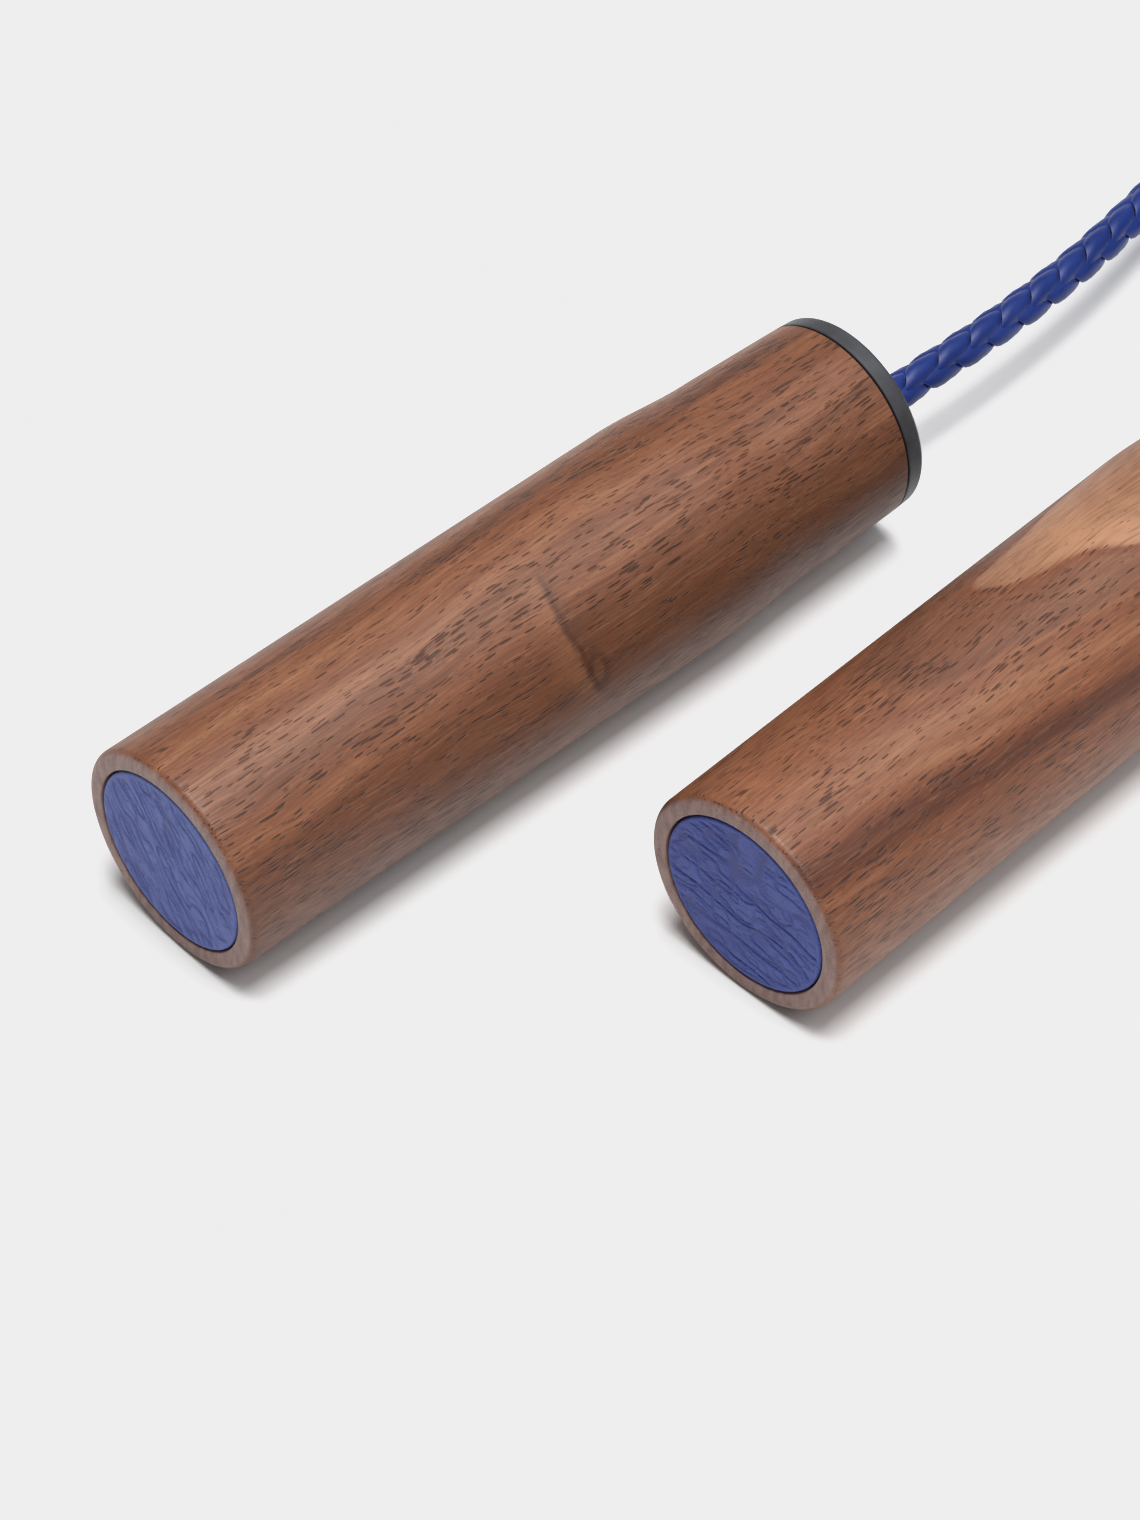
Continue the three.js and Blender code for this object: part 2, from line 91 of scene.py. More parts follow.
def grid_faces(rows, columns, close_rows=False, first=0):
    """Four-sided faces between neighbouring points of a grid of rows and
    columns. The columns always close on themselves, as round a tube."""
    row = np.arange(rows if close_rows else rows - 1)[:, None]
    column = np.arange(columns)[None, :]
    after, beside = (row + 1) % rows, (column + 1) % columns
    corners = (
        row * columns + column,
        row * columns + beside,
        after * columns + beside,
        after * columns + column,
    )
    return np.stack([c + 0 * row for c in corners], -1).reshape(-1, 4) + first


def mesh_piece(name, points, faces, material, attributes=None, crease_angle=40):
    """A shown object from points in millimetres: faces turned outwards,
    smooth shaded, with edges steeper than crease_angle degrees left sharp."""
    mesh = bpy.data.meshes.new(name)
    mesh.from_pydata(np.asarray(points) * MM, [], faces)
    for title, values in (attributes or {}).items():
        layer = mesh.attributes.new(title, "FLOAT", "POINT")
        layer.data.foreach_set("value", np.asarray(values, np.float32).ravel())
    work = bmesh.new()
    work.from_mesh(mesh)
    bmesh.ops.recalc_face_normals(work, faces=work.faces)
    work.to_mesh(mesh)
    work.free()
    mesh.polygons.foreach_set("use_smooth", np.ones(len(mesh.polygons), bool))
    mesh.set_sharp_from_angle(angle=math.radians(crease_angle))
    mesh.materials.append(material)
    piece = bpy.data.objects.new(name, mesh)
    bpy.context.collection.objects.link(piece)
    print("made", name, "with", len(mesh.polygons), "faces")
    return piece


# %% [markdown]
# ## Finishes from nodes
# A finish is a small graph: coordinates go in, patterns are mixed, and the
# result feeds one Principled shader. Writing the graph with bare calls takes
# four lines a node. This small class adds a node and joins what feeds it in one
# call, so each finish below reads like a recipe.

# %% The class that writes a finish
class Finish:
    """One material, its Principled shader, and short calls for its nodes."""

    def __init__(self, name, **settings):
        self.material = bpy.data.materials.new(name)
        self.material.use_nodes = True
        self.tree = self.material.node_tree
        self.tree.nodes.clear()
        self.shader = self.add("ShaderNodeBsdfPrincipled")
        out = self.add("ShaderNodeOutputMaterial")
        self.tree.links.new(self.shader.outputs[0], out.inputs[0])
        for socket, value in settings.items():
            self.set(socket.replace("_", " "), value)

    def add(self, kind, **settings):
        """A new node with its settings."""
        node = self.tree.nodes.new(kind)
        for key, value in settings.items():
            setattr(node, key, value)
        return node

    def feed(self, node, sockets, output=0):
        """Puts a number or another node's output on each named input."""
        for key, value in sockets.items():
            if isinstance(value, bpy.types.NodeSocket):
                self.tree.links.new(value, node.inputs[key])
            else:
                node.inputs[key].default_value = value
        return node.outputs[output]

    def set(self, socket, value):
        """Feeds one input of the shader."""
        self.feed(self.shader, {socket: value})

    def place(self, where=(0, 0, 0), turn=(0, 0, 0)):
        """Object coordinates in millimetres, measured from where and turned
        with it (angles in degrees)."""
        node = self.add("ShaderNodeMapping", vector_type="TEXTURE")
        source = self.add("ShaderNodeTexCoord").outputs["Object"]
        angles = [math.radians(a) for a in turn]
        lengths = [w * MM for w in where]
        return self.feed(node, {"Vector": source, "Location": lengths,
                                "Rotation": angles, "Scale": (MM, MM, MM)})

    def stretch(self, vector, x, y, z):
        """The same coordinates, each multiplied by its own number."""
        node = self.add("ShaderNodeVectorMath", operation="MULTIPLY")
        return self.feed(node, {0: vector, 1: (x, y, z)})

    def dot(self, vector, direction):
        """How far the coordinates reach along a direction."""
        node = self.add("ShaderNodeVectorMath", operation="DOT_PRODUCT")
        return self.feed(node, {0: vector, 1: direction}, "Value")

    def math(self, operation, first, second=0.0, third=0.0):
        """Arithmetic on numbers or on other nodes' outputs."""
        node = self.add("ShaderNodeMath", operation=operation)
        return self.feed(node, {0: first, 1: second, 2: third})

    def times(self, first, second):
        """One number times another."""
        return self.math("MULTIPLY", first, second)

    def noise(self, vector, scale=1.0, detail=2.0, rough=0.5, output=0):
        """Soft random clouds, scale of them to a unit of the coordinates."""
        node = self.add("ShaderNodeTexNoise")
        return self.feed(node, {"Vector": vector, "Scale": scale,
                                "Detail": detail, "Roughness": rough}, output)

    def cells(self, vector, scale=1.0):
        """Distance to the nearest of many points scattered in space."""
        node = self.add("ShaderNodeTexVoronoi")
        return self.feed(node, {"Vector": vector, "Scale": scale})

    def between(self, value, low, high, to_low=0.0, to_high=1.0):
        """A smooth step: to_low below low, to_high above high."""
        node = self.add("ShaderNodeMapRange", interpolation_type="SMOOTHSTEP")
        return self.feed(node, {"Value": value, "From Min": low,
                                "From Max": high, "To Min": to_low,
                                "To Max": to_high})

    def tones(self, value, stops):
        """Colours along a line, each stop being a place from 0 to 1 and a
        colour in linear light."""
        node = self.add("ShaderNodeValToRGB")
        line = node.color_ramp.elements
        while len(line) < len(stops):
            line.new(0.5)
        for element, (place, colour) in zip(line, stops):
            element.position = place
            element.color = (*colour, 1)
        return self.feed(node, {"Fac": value})

    def blend(self, share, first, second):
        """first where share is 0 and second where it is 1."""
        node = self.add("ShaderNodeMix", data_type="RGBA")
        values = {0: share, 6: first, 7: second}
        for key, value in values.items():
            if isinstance(value, tuple) and len(value) == 3:
                values[key] = (*value, 1)
        return self.feed(node, values, 2)

    def attribute(self, name):
        """A number that the mesh carries at each of its points."""
        node = self.add("ShaderNodeAttribute", attribute_name=name)
        return node.outputs["Fac"]

    def bump(self, height, depth_mm):
        """Relief: height 1 stands depth_mm above height 0."""
        node = self.add("ShaderNodeBump")
        return self.feed(node, {"Height": height, "Distance": depth_mm * MM,
                                "Strength": 1.0})

    def done(self):
        """Says how large the recipe is, and gives the material."""
        print("finish", self.material.name, "has", len(self.tree.nodes), "nodes")
        return self.material


# %% [markdown]
# ## Where the grips lie
# Both grips are the same turned shape. Each lies on its side along its own
# axis, which leans a degree and a half away from straight. A piece is first
# worked out upright in its own coordinates (across, along, up), and then one
# function carries it to its grip. Stations along the axis are counted from the
# leather face.

# %% The two grips' axes
GRIP_LENGTH = 130.2
GRIP_RADIUS = 17.5
LEAN = 1.433
EXITS = {"left": (-26.708, 39.744), "right": (26.708, 90.456)}
LEANS = {"left": LEAN, "right": -LEAN}


def axis_of(side):
    """The unit vectors across and along one grip, and the middle of its
    leather face: the exit, less the grip's length along its axis."""
    lean = math.radians(LEANS[side])
    along = np.array([math.sin(lean), math.cos(lean), 0.0])
    across = np.array([math.cos(lean), -math.sin(lean), 0.0])
    mouth = np.array([*EXITS[side], GRIP_RADIUS])
    return across, along, mouth - GRIP_LENGTH * along


def carry(side, points):
    """Own coordinates (across, along, up) to the frame that all pieces share:
    the leather face, plus each number times its own direction."""
    across, along, face = axis_of(side)
    points = np.asarray(points, float)
    return (face + points[:, :1] * across + points[:, 1:2] * along
            + points[:, 2:] * np.array([0.0, 0.0, 1.0]))


# %% [markdown]
# ## The rope's way
# The rope is one fixed length of braided leather. It is held inside each grip
# by a ferrule, comes straight out through the bearing, droops to the floor and
# goes into a tidy coil of four flat layers, as a stored rope does. A curve
# object could follow the same points, but a braid needs a frame of directions
# at each point, so the way is kept as an array. Points are chosen along the
# bends, and a smooth curve is drawn through them. INSIDE holds pairs: a station
# along the grip, and the share of the full droop that the rope has there.

# %% Points along the rope, from the left grip to the right one
ROPE_DROOP = 2.9
INSIDE = ((90.7, 0.0), (102.1, 0.0), (107.8, 0.0), (113.45, 0.0),
          (119.03, 0.28), (124.62, 0.74), (130.2, 1.0))
LEFT_ROUTE = (
    (-26.5, 47, 14.6), (-26.3, 56, 14.5), (-26.1, 65, 14.3), (-26.3, 75, 13.9),
    (-26.9, 85, 13.4), (-28.0, 95, 12.8), (-29.6, 105, 12.1), (-31.6, 115, 11.2),
    (-33.9, 125, 10.0), (-36.5, 135, 8.5), (-39.1, 145, 6.7), (-41.5, 155, 5.0),
    (-43.4, 165, 3.8), (-44.6, 175, 3.2), (-45.1, 184, 3.1))
RIGHT_ROUTE = (
    (26.5, 98, 14.6), (26.6, 106, 14.5), (27.4, 114, 14.2), (29.0, 122, 13.8),
    (31.3, 130, 13.2), (34.1, 138, 12.4), (37.1, 146, 11.5), (40.0, 154, 10.3),
    (42.5, 162, 8.8), (44.5, 170, 7.1), (45.8, 179, 5.4), (46.1, 188, 4.1))


def inside_grip(side):
    """Points along the axis, lowered towards the mouth by the rope's droop."""
    station, share = np.array(INSIDE).T
    return carry(side, np.stack([0 * station, station, -ROPE_DROOP * share], -1))


print("the rope leaves each grip", ROPE_DROOP, "mm below its axis")

# %% The coil: flat spirals joined by short climbs
COIL_CENTRE = (-3.0, 190.0)
COIL_INNER, COIL_OUTER = 24.0, 42.0
LAYERS = (3.1, 9.1, 15.1, 21.1)
WOUND_TURNS = 11.875
CLIMB_TURNS = 0.25
SPIRAL_TURNS = (WOUND_TURNS - (len(LAYERS) - 1) * CLIMB_TURNS) / len(LAYERS)
POINTS_PER_TURN = 24
SIDE_RADIUS = 48.9
SIDE_START, SIDE_STOP, SIDE_STEP = 216.0, 11.0, -12.0
SIDE_OUT, SIDE_OUT_OVER = 168, 60
SIDE_DOWN, SIDE_DOWN_OVER = 48, 120
TIE_LIFT, TIE_FADE, TIE_REACH = 1.5, 8.0, 10


def ease(t):
    """Half a cosine wave from 0 to 1, flat at both ends."""
    return (1 - np.cos(math.pi * np.clip(t, 0, 1))) / 2


def on_coil(angle, radius, height):
    """Points at an angle and radius about the coil's centre."""
    middle = np.array([*COIL_CENTRE, 0.0])
    way = np.stack([radius * np.cos(angle), radius * np.sin(angle), height], -1)
    return middle + way


def wound_rope():
    """Four spirals, in, out, in and out, each three turns or so, turning
    clockwise, with a quarter turn between them that climbs one layer."""
    stretches, start = [], 0.0
    for layer, height in enumerate(LAYERS):
        inwards = layer % 2 == 0
        first, last = (COIL_OUTER, COIL_INNER) if inwards else (COIL_INNER, COIL_OUTER)
        turns = np.arange(0, SPIRAL_TURNS, 1 / POINTS_PER_TURN)
        radius = first + (last - first) * (turns / SPIRAL_TURNS)
        stretches.append([start + turns, radius, height + 0 * turns])
        start += SPIRAL_TURNS
        if layer + 1 < len(LAYERS):
            turns = np.arange(0, CLIMB_TURNS, 1 / POINTS_PER_TURN)
            climb = (LAYERS[layer + 1] - height) * ease(turns / CLIMB_TURNS)
            stretches.append([start + turns, last + 0 * turns, height + climb])
            start += CLIMB_TURNS
    turned_by, radius, height = np.concatenate(stretches, axis=1)
    return on_coil(math.pi - 2 * math.pi * turned_by, radius, height)


def side_wrap():
    """The last turn, which comes off the top and winds down the outside. Its
    radius has grown to SIDE_RADIUS by the angle SIDE_OUT, and it lies on the
    floor from SIDE_DOWN on, each change following half a cosine wave."""
    degrees = np.arange(SIDE_START, SIDE_STOP, SIDE_STEP)
    drawn_in = ease((degrees - SIDE_OUT) / SIDE_OUT_OVER)
    raised = ease((degrees - SIDE_DOWN) / SIDE_DOWN_OVER)
    radius = SIDE_RADIUS + (COIL_OUTER - SIDE_RADIUS) * drawn_in
    height = LAYERS[0] + (LAYERS[-1] - LAYERS[0]) * raised
    return on_coil(np.radians(degrees), radius, height)


def over_the_tie(points):
    """Lifts the lower layers where the tie passes under them: most at the
    floor, nothing at the top, fading sideways as 1 / (1 + d^4), where d is
    the distance from the tie's middle in units of TIE_FADE."""
    sideways = (points[:, 0] - COIL_CENTRE[0]) / TIE_FADE
    near_side = points[:, 1] < COIL_CENTRE[1] - TIE_REACH
    depth = 1 - (points[:, 2] - LAYERS[0]) / (LAYERS[-1] - LAYERS[0])
    lifted = points.copy()
    lifted[:, 2] += TIE_LIFT * depth * near_side / (1 + sideways ** 4)
    return lifted


print("the coil winds", WOUND_TURNS, "turns in", len(LAYERS), "layers")

# %% A smooth line through the points
def walked(line):
    """How far along the line each point is: the running sum of the steps."""
    steps = np.linalg.norm(np.diff(line, axis=0), axis=1)
    return np.concatenate([[0], np.cumsum(steps)])


def smooth_line(points, step):
    """Cubic pieces through the points, whose slopes are those of the chord
    between each point's neighbours, measured out again in equal steps."""
    chord = np.linalg.norm(np.diff(points, axis=0), axis=1)
    knots = walked(points)
    slope = np.gradient(points, knots, axis=0)
    fine = np.linspace(0, knots[-1], int(knots[-1] / step) * 4)
    piece = np.clip(np.searchsorted(knots, fine, side="right") - 1, 0, len(chord) - 1)
    span = chord[piece][:, None]
    u = (fine - knots[piece])[:, None] / span
    line = ((1 + 2 * u) * (1 - u) ** 2 * points[piece]
            + u * (1 - u) ** 2 * span * slope[piece]
            + u ** 2 * (3 - 2 * u) * points[piece + 1]
            + u ** 2 * (u - 1) * span * slope[piece + 1])
    return even_steps(line, step)


def even_steps(line, step):
    """The same line with its points the same distance apart."""
    reached = walked(line)
    at = np.linspace(0, reached[-1], int(reached[-1] / step) + 1)
    return np.stack([np.interp(at, reached, column) for column in line.T], -1)


rope_points = np.concatenate([
    inside_grip("left"), LEFT_ROUTE, over_the_tie(wound_rope()), side_wrap(),
    RIGHT_ROUTE[::-1], inside_grip("right")[::-1]])
LINE_STEP = 1.5
rope_line = smooth_line(rope_points, LINE_STEP)
rope_along = walked(rope_line)
print("the rope is", round(rope_along[-1] / 1000, 3), "m long")

# %% [markdown]
# ## Braiding the rope
# Four flat laces make a round braid: two wind to the right and two to the left,
# and each goes over one lace and under the next. On a plain tube with a bump
# map the outline would stay straight, and the laces would never dip. Here
# each lace is its own closed strip, carried round the rope's line.
#
# The trick is that over and under depend only on the side of the rope. A lace
# that winds right rides high at the top and bottom, and one that winds left
# rides high at the sides. So its distance from the middle is a plain cosine of
# twice the angle, and the leaf shapes appear where the two families meet.

# %% The leather lace and the braid's sizes
PITCH = 13.8
LACE_WIDTH = 5.25
LACE_THICKNESS = 1.45
LACE_SQUARE = 0.8
LACE_BACK = 0.55
LACE_MIDDLE = 1.80
LACE_SWING = 0.47
WIND_RADIUS = 2.5
SHINGLE = 0.2
BRAID_TURN = math.radians(87)
BRAID_TWIST = math.radians(-0.1)
slant = math.atan(2 * math.pi * WIND_RADIUS / PITCH)
print("the laces slant", round(math.degrees(slant), 1), "degrees from the rope's line")


def squared(wave, power):
    """A sine or cosine made squarer: its size to a power, its sign kept."""
    return np.sign(wave) * np.abs(wave) ** power


def lace_section(count):
    """A flat oval: across is a cosine and height a sine of the same angle, the
    back flatter than the front, and the edge towards the left grip raised."""
    a = 2 * math.pi * (np.arange(count) + 0.5) / count
    across = LACE_WIDTH / 2 * squared(np.cos(a), LACE_SQUARE)
    height = LACE_THICKNESS / 2 * np.sin(a) * np.where(np.sin(a) > 0, 1.0, LACE_BACK)
    return across, height + SHINGLE * across / (LACE_WIDTH / 2)


def rope_directions(line):
    """At each point of the line, the unit vector to its right and the one
    upwards: right = along x vertical, up = right x along."""
    along = np.gradient(line, axis=0)
    along /= np.linalg.norm(along, axis=1)[:, None]
    right = np.cross(along, [0.0, 0.0, 1.0])
    right /= np.linalg.norm(right, axis=1)[:, None]
    return right, np.cross(right, along)


rope_right, rope_up = rope_directions(rope_line)


def at_rope(values, x):
    """Reads an array kept along the rope at every distance x."""
    return np.stack([np.interp(x, rope_along, values[:, k]) for k in range(3)], -1)


def lace(start, stop, hand, which, steps_per_turn, count):
    """One lace between two distances along the rope. Its middle turns once
    in every pitch, its width is laid square to its slant, and its distance from
    the rope's middle swings as cos(2 x angle)."""
    across, height = lace_section(count)
    rows = int((stop - start) / PITCH * steps_per_turn)
    turn = np.linspace(start, stop, rows)[:, None] / PITCH
    x = np.clip(turn * PITCH - across * math.sin(slant), 0, rope_along[-1])
    angle = 2 * math.pi * turn + across * math.cos(slant) / WIND_RADIUS
    angle = hand * angle + which * math.pi
    radius = LACE_MIDDLE + hand * LACE_SWING * np.cos(2 * angle) + height
    angle = angle + BRAID_TURN + BRAID_TWIST * x
    points = (at_rope(rope_line, x)
              + (radius * np.cos(angle))[..., None] * at_rope(rope_right, x)
              + (radius * np.sin(angle))[..., None] * at_rope(rope_up, x))
    edge = np.abs(across) / (LACE_WIDTH / 2) + 0 * turn
    return points.reshape(-1, 3), edge.ravel(), rows


def braid(stretches):
    """All laces of all stretches as one mesh, every strip closed at its ends.
    A stretch is where it starts and stops, the rows to a turn of a lace, and
    the points round a lace."""
    points, edges, faces, first = [], [], [], 0
    for start, stop, steps_per_turn, count in stretches:
        for hand in (1, -1):
            for which in (0, 1):
                p, e, rows = lace(start, stop, hand, which, steps_per_turn, count)
                points.append(p)
                edges.append(e)
                faces += grid_faces(rows, count, first=first).tolist()
                last = first + (rows - 1) * count
                faces += [list(range(first, first + count)),
                          list(range(last, last + count))]
                first += len(p)
    return np.concatenate(points), np.concatenate(edges), faces


# %% [markdown]
# ### The laces' leather
# Smooth dyed hide: a deep blue that clouds a little, with a soft sheen, a trace
# of grain so fine that it hardly shows as relief, and a paler line where each
# lace was cut. The cut line follows an attribute, because only the mesh knows
# where a lace has its edges.

# %% Finish: blue lace leather
LACE_DEEP, LACE_PALE = (0.006, 0.018, 0.110), (0.011, 0.027, 0.142)
LACE_GRAIN, LACE_CUT = (0.005, 0.013, 0.080), (0.036, 0.052, 0.200)
lace_leather = Finish("blue_lace_leather", Roughness=0.48, Specular_IOR_Level=0.34)
spot = lace_leather.place()
cloud = lace_leather.noise(spot, 0.16, 3.0)
grain = lace_leather.noise(spot, 3.2, 3.0, 0.6)
colour = lace_leather.tones(cloud, [(0.3, LACE_DEEP), (0.7, LACE_PALE)])
grained = lace_leather.between(grain, 0.35, 0.75, 0.0, 0.3)
colour = lace_leather.blend(grained, colour, LACE_GRAIN)
cut = lace_leather.between(lace_leather.attribute("edge"), 0.86, 0.99, 0.0, 0.5)
colour = lace_leather.blend(cut, colour, LACE_CUT)
lace_leather.set("Base Color", colour)
lace_leather.set("Sheen Weight", 0.05)
lace_leather.set("Sheen Roughness", 0.4)
lace_leather.set("Normal", lace_leather.bump(grain, 0.03))
lace_leather.done()

# %% Braid it: close steps where it is seen from near, wider ones in the coil
NEAR_STRETCH = 205.0
OVERLAP = 1.0
END_GAP = 1.5
NEAR_DETAIL, COIL_DETAIL = (24, 12), (12, 7)
lace_points, lace_edges, lace_faces = braid([
    (END_GAP, NEAR_STRETCH, *NEAR_DETAIL),
    (NEAR_STRETCH - OVERLAP, rope_along[-1] - END_GAP, *COIL_DETAIL)])
rope = mesh_piece("braided_rope", lace_points, lace_faces, lace_leather.material,
                  {"edge": lace_edges}, crease_angle=60)
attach(rope, "rope")
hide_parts("rope_left_lead", "rope_right_lead", "rope_coil")

# %% [markdown]
# ## Turned pieces
# Grip, disc, cap and stud are all made on a lathe, so one function turns any
# outline about the grip's axis. An outline runs from axis to axis, or closes on
# itself for a ring. Blender's Screw or Spin would do the same, but the formula
# is short and leaves the points where they can be shaped further.

# %% The lathe
def turned(outline, sides, ring=False):
    """Each outline point (radius, station) goes round the axis: across =
    radius x cos, up = radius x sin. Ends on the axis close in one point."""
    outline = np.asarray(outline, float)
    rings = outline if ring else outline[1:-1]
    angle = 2 * math.pi * np.arange(sides) / sides
    radius, station = rings[:, :1], rings[:, 1:]
    points = np.stack([radius * np.cos(angle), station + 0 * angle,
                       radius * np.sin(angle)], -1).reshape(-1, 3)
    faces = grid_faces(len(rings), sides, close_rows=ring).tolist()
    if not ring:
        poles = np.array([[0, outline[0, 1], 0], [0, outline[-1, 1], 0]])
        step = np.arange(sides)
        last = len(points) - sides
        near = np.stack([0 * step + len(points), (step + 1) % sides, step], -1)
        far = np.stack([0 * step + len(points) + 1, last + step,
                        last + (step + 1) % sides], -1)
        faces += near.tolist() + far.tolist()
        points = np.concatenate([points, poles])
    return points, faces


def rounded(radius, station, size, start, stop, steps=6):
    """Points on a small arc about (radius, station), angles in degrees from
    the outward direction towards the front."""
    a = np.radians(np.linspace(start, stop, steps))
    return list(zip(radius + size * np.cos(a), station + size * np.sin(a)))


def straight(start, stop, steps):
    """Evenly spaced points between two, without the last."""
    share = np.linspace(0, 1, steps, endpoint=False)[:, None]
    start, stop = np.array(start), np.array(stop)
    return (start + share * (stop - start)).tolist()


# %% [markdown]
# ## Walnut
# The grips are solid walnut, oiled and not varnished. Three things make wood
# look like wood: tones that follow the growth rings, fine fibres along the
# trunk, and open pores that show as short dark dashes. A flat pattern wrapped
# round the grip would repeat and could not turn the corner at its end. So the
# pattern fills space, as in a real log: rings are sheets through the block, the
# lathe cuts through them, and pointed figures appear by themselves where a
# sheet is cut at a shallow angle.

# %% The block of walnut behind each grip
BEND_MM = 6.0


def walnut_block(side, facing, tilt):
    """Starts a walnut finish whose growth sheets face one way round the axis
    (degrees up from across) and tilt by so much a millimetre. own holds the
    grip's coordinates, bent the same shifted by a slow noise, and depth counts
    millimetres outwards through the log."""
    wood = Finish(side + "_walnut", Specular_IOR_Level=0.36)
    own = wood.place(axis_of(side)[2], (0, 0, -LEANS[side]))
    bend = wood.noise(wood.stretch(own, 0.05, 0.022, 0.05), 1.0, 2.0, 0.5, "Color")
    centred = wood.add("ShaderNodeVectorMath", operation="SUBTRACT")
    bend = wood.feed(centred, {0: bend, 1: (0.5, 0.5, 0.5)})
    shift = wood.stretch(bend, BEND_MM, 0.0, BEND_MM)
    total = wood.add("ShaderNodeVectorMath", operation="ADD")
    bent = wood.feed(total, {0: own, 1: shift})
    out = math.radians(facing)
    depth = wood.dot(bent, (math.cos(out), tilt, math.sin(out)))
    return wood, own, bent, depth


def growth_rings(wood, own, depth, close, drift, apart=0.0):
    """The rings' uneven tones: one noise, read at close x depth and drift x
    station, so it changes fast through the sheets and slowly along the trunk.
    apart picks another part of the noise."""
    station = wood.dot(own, (0, 1, 0))
    sheet = wood.feed(wood.add("ShaderNodeCombineXYZ"), {
        0: wood.times(depth, close),
        1: wood.times(station, drift), 2: apart})
    return wood.noise(sheet, 1.0, 3.0, 0.6)


def dashes(wood, bent, width, length, size):
    """Pores: the space is divided into long thin cells, and each holds one
    long dark grain of the given size at a random place."""
    cell = wood.cells(wood.stretch(bent, 1 / width, 1 / length, 1 / width))
    share = wood.math("DIVIDE", cell, size)
    return wood.between(share, 0.62, 1.05, 1.0, 0.0)


DARK_FIBRE, PALE_FIBRE = (0.062, 0.022, 0.011), (0.295, 0.148, 0.082)
OPEN_PORE, CUT_PORE = (0.032, 0.013, 0.009), (0.09, 0.055, 0.045)
END_GRAIN = ((0.35, (0.160, 0.092, 0.078)), (0.65, (0.240, 0.150, 0.126)))


def finish_walnut(wood, own, bent, tone, density):
    """Fibres, pores, end grain and relief over a tone that is already there.
    density from 0 to 1 says how many pores there are."""
    fibre = wood.noise(wood.stretch(bent, 3.2, 0.10, 3.2), 1.0, 4.0, 0.66)
    tone = wood.blend(wood.between(fibre, 0.30, 0.60, 0.50, 0.0), tone, DARK_FIBRE)
    tone = wood.blend(wood.between(fibre, 0.52, 0.78, 0.0, 0.40), tone, PALE_FIBRE)
    patch = wood.noise(wood.stretch(bent, 0.30, 0.06, 0.30), 1.0, 2.0)
    share = wood.times(density, wood.between(patch, 0.32, 0.66, 0.50, 1.25))
    size = wood.math("MULTIPLY_ADD", share, 0.28, 0.10)
    pores = dashes(wood, bent, 0.48, 4.4, size)
    fine = dashes(wood, bent, 0.30, 2.6, wood.math("MULTIPLY_ADD", share, 0.17, 0.13))
    long = dashes(wood, bent, 0.55, 10.0, wood.math("MULTIPLY_ADD", share, 0.20, 0.06))
    pores = wood.math("MAXIMUM", pores, wood.times(long, 0.8))
    dark = wood.math("MAXIMUM", wood.times(pores, 0.84), wood.times(fine, 0.55))
    tone = wood.blend(dark, tone, OPEN_PORE)

    cut = wood.attribute("end_grain")
    rings = wood.noise(wood.stretch(own, 0.9, 0.1, 0.25), 1.0, 3.0)
    end = wood.tones(rings, END_GRAIN)
    end = wood.blend(wood.times(fine, 0.35), end, CUT_PORE)
    wood.set("Base Color", wood.blend(cut, tone, end))
    wood.set("Roughness", wood.between(fibre, 0.3, 0.7, 0.56, 0.46))
    relief = wood.math("SUBTRACT", wood.times(fibre, 0.18), pores)
    wood.set("Normal", wood.bump(relief, 0.07))
    return wood.done()


print("growth sheets wander by up to", BEND_MM / 2, "mm")

# %% [markdown]
# ### The left grip's log
# Its sheets stand edge-on to the top, so the tones run straight from end to
# end. Half way along, the lathe has just cut the trace of a small twig: a thin
# dark crescent across the grain, with warm wood on one side and a little eye
# at its lower end.

# %% Finish: left walnut
KNOT_FACING = 45
KNOT_STATION = 61.9
KNOT_BEND = 0.018
KNOT_WOBBLE = 1.6
EYE_ROUND, EYE_PAST, EYE_NARROW = 8.5, 2.6, 0.62
KNOT_WARM, KNOT_SHADE = (0.225, 0.102, 0.053), (0.075, 0.035, 0.023)
KNOT_LINE, EYE_RIM = (0.040, 0.018, 0.014), (0.042, 0.019, 0.014)
EYE_HEART = (0.175, 0.066, 0.030)


def strip(wood, value, opens, opened, closes, closed):
    """1 between opened and closes, and 0 before opens and after closed."""
    return wood.times(wood.between(value, opens, opened),
                      wood.between(value, closes, closed, 1.0, 0.0))


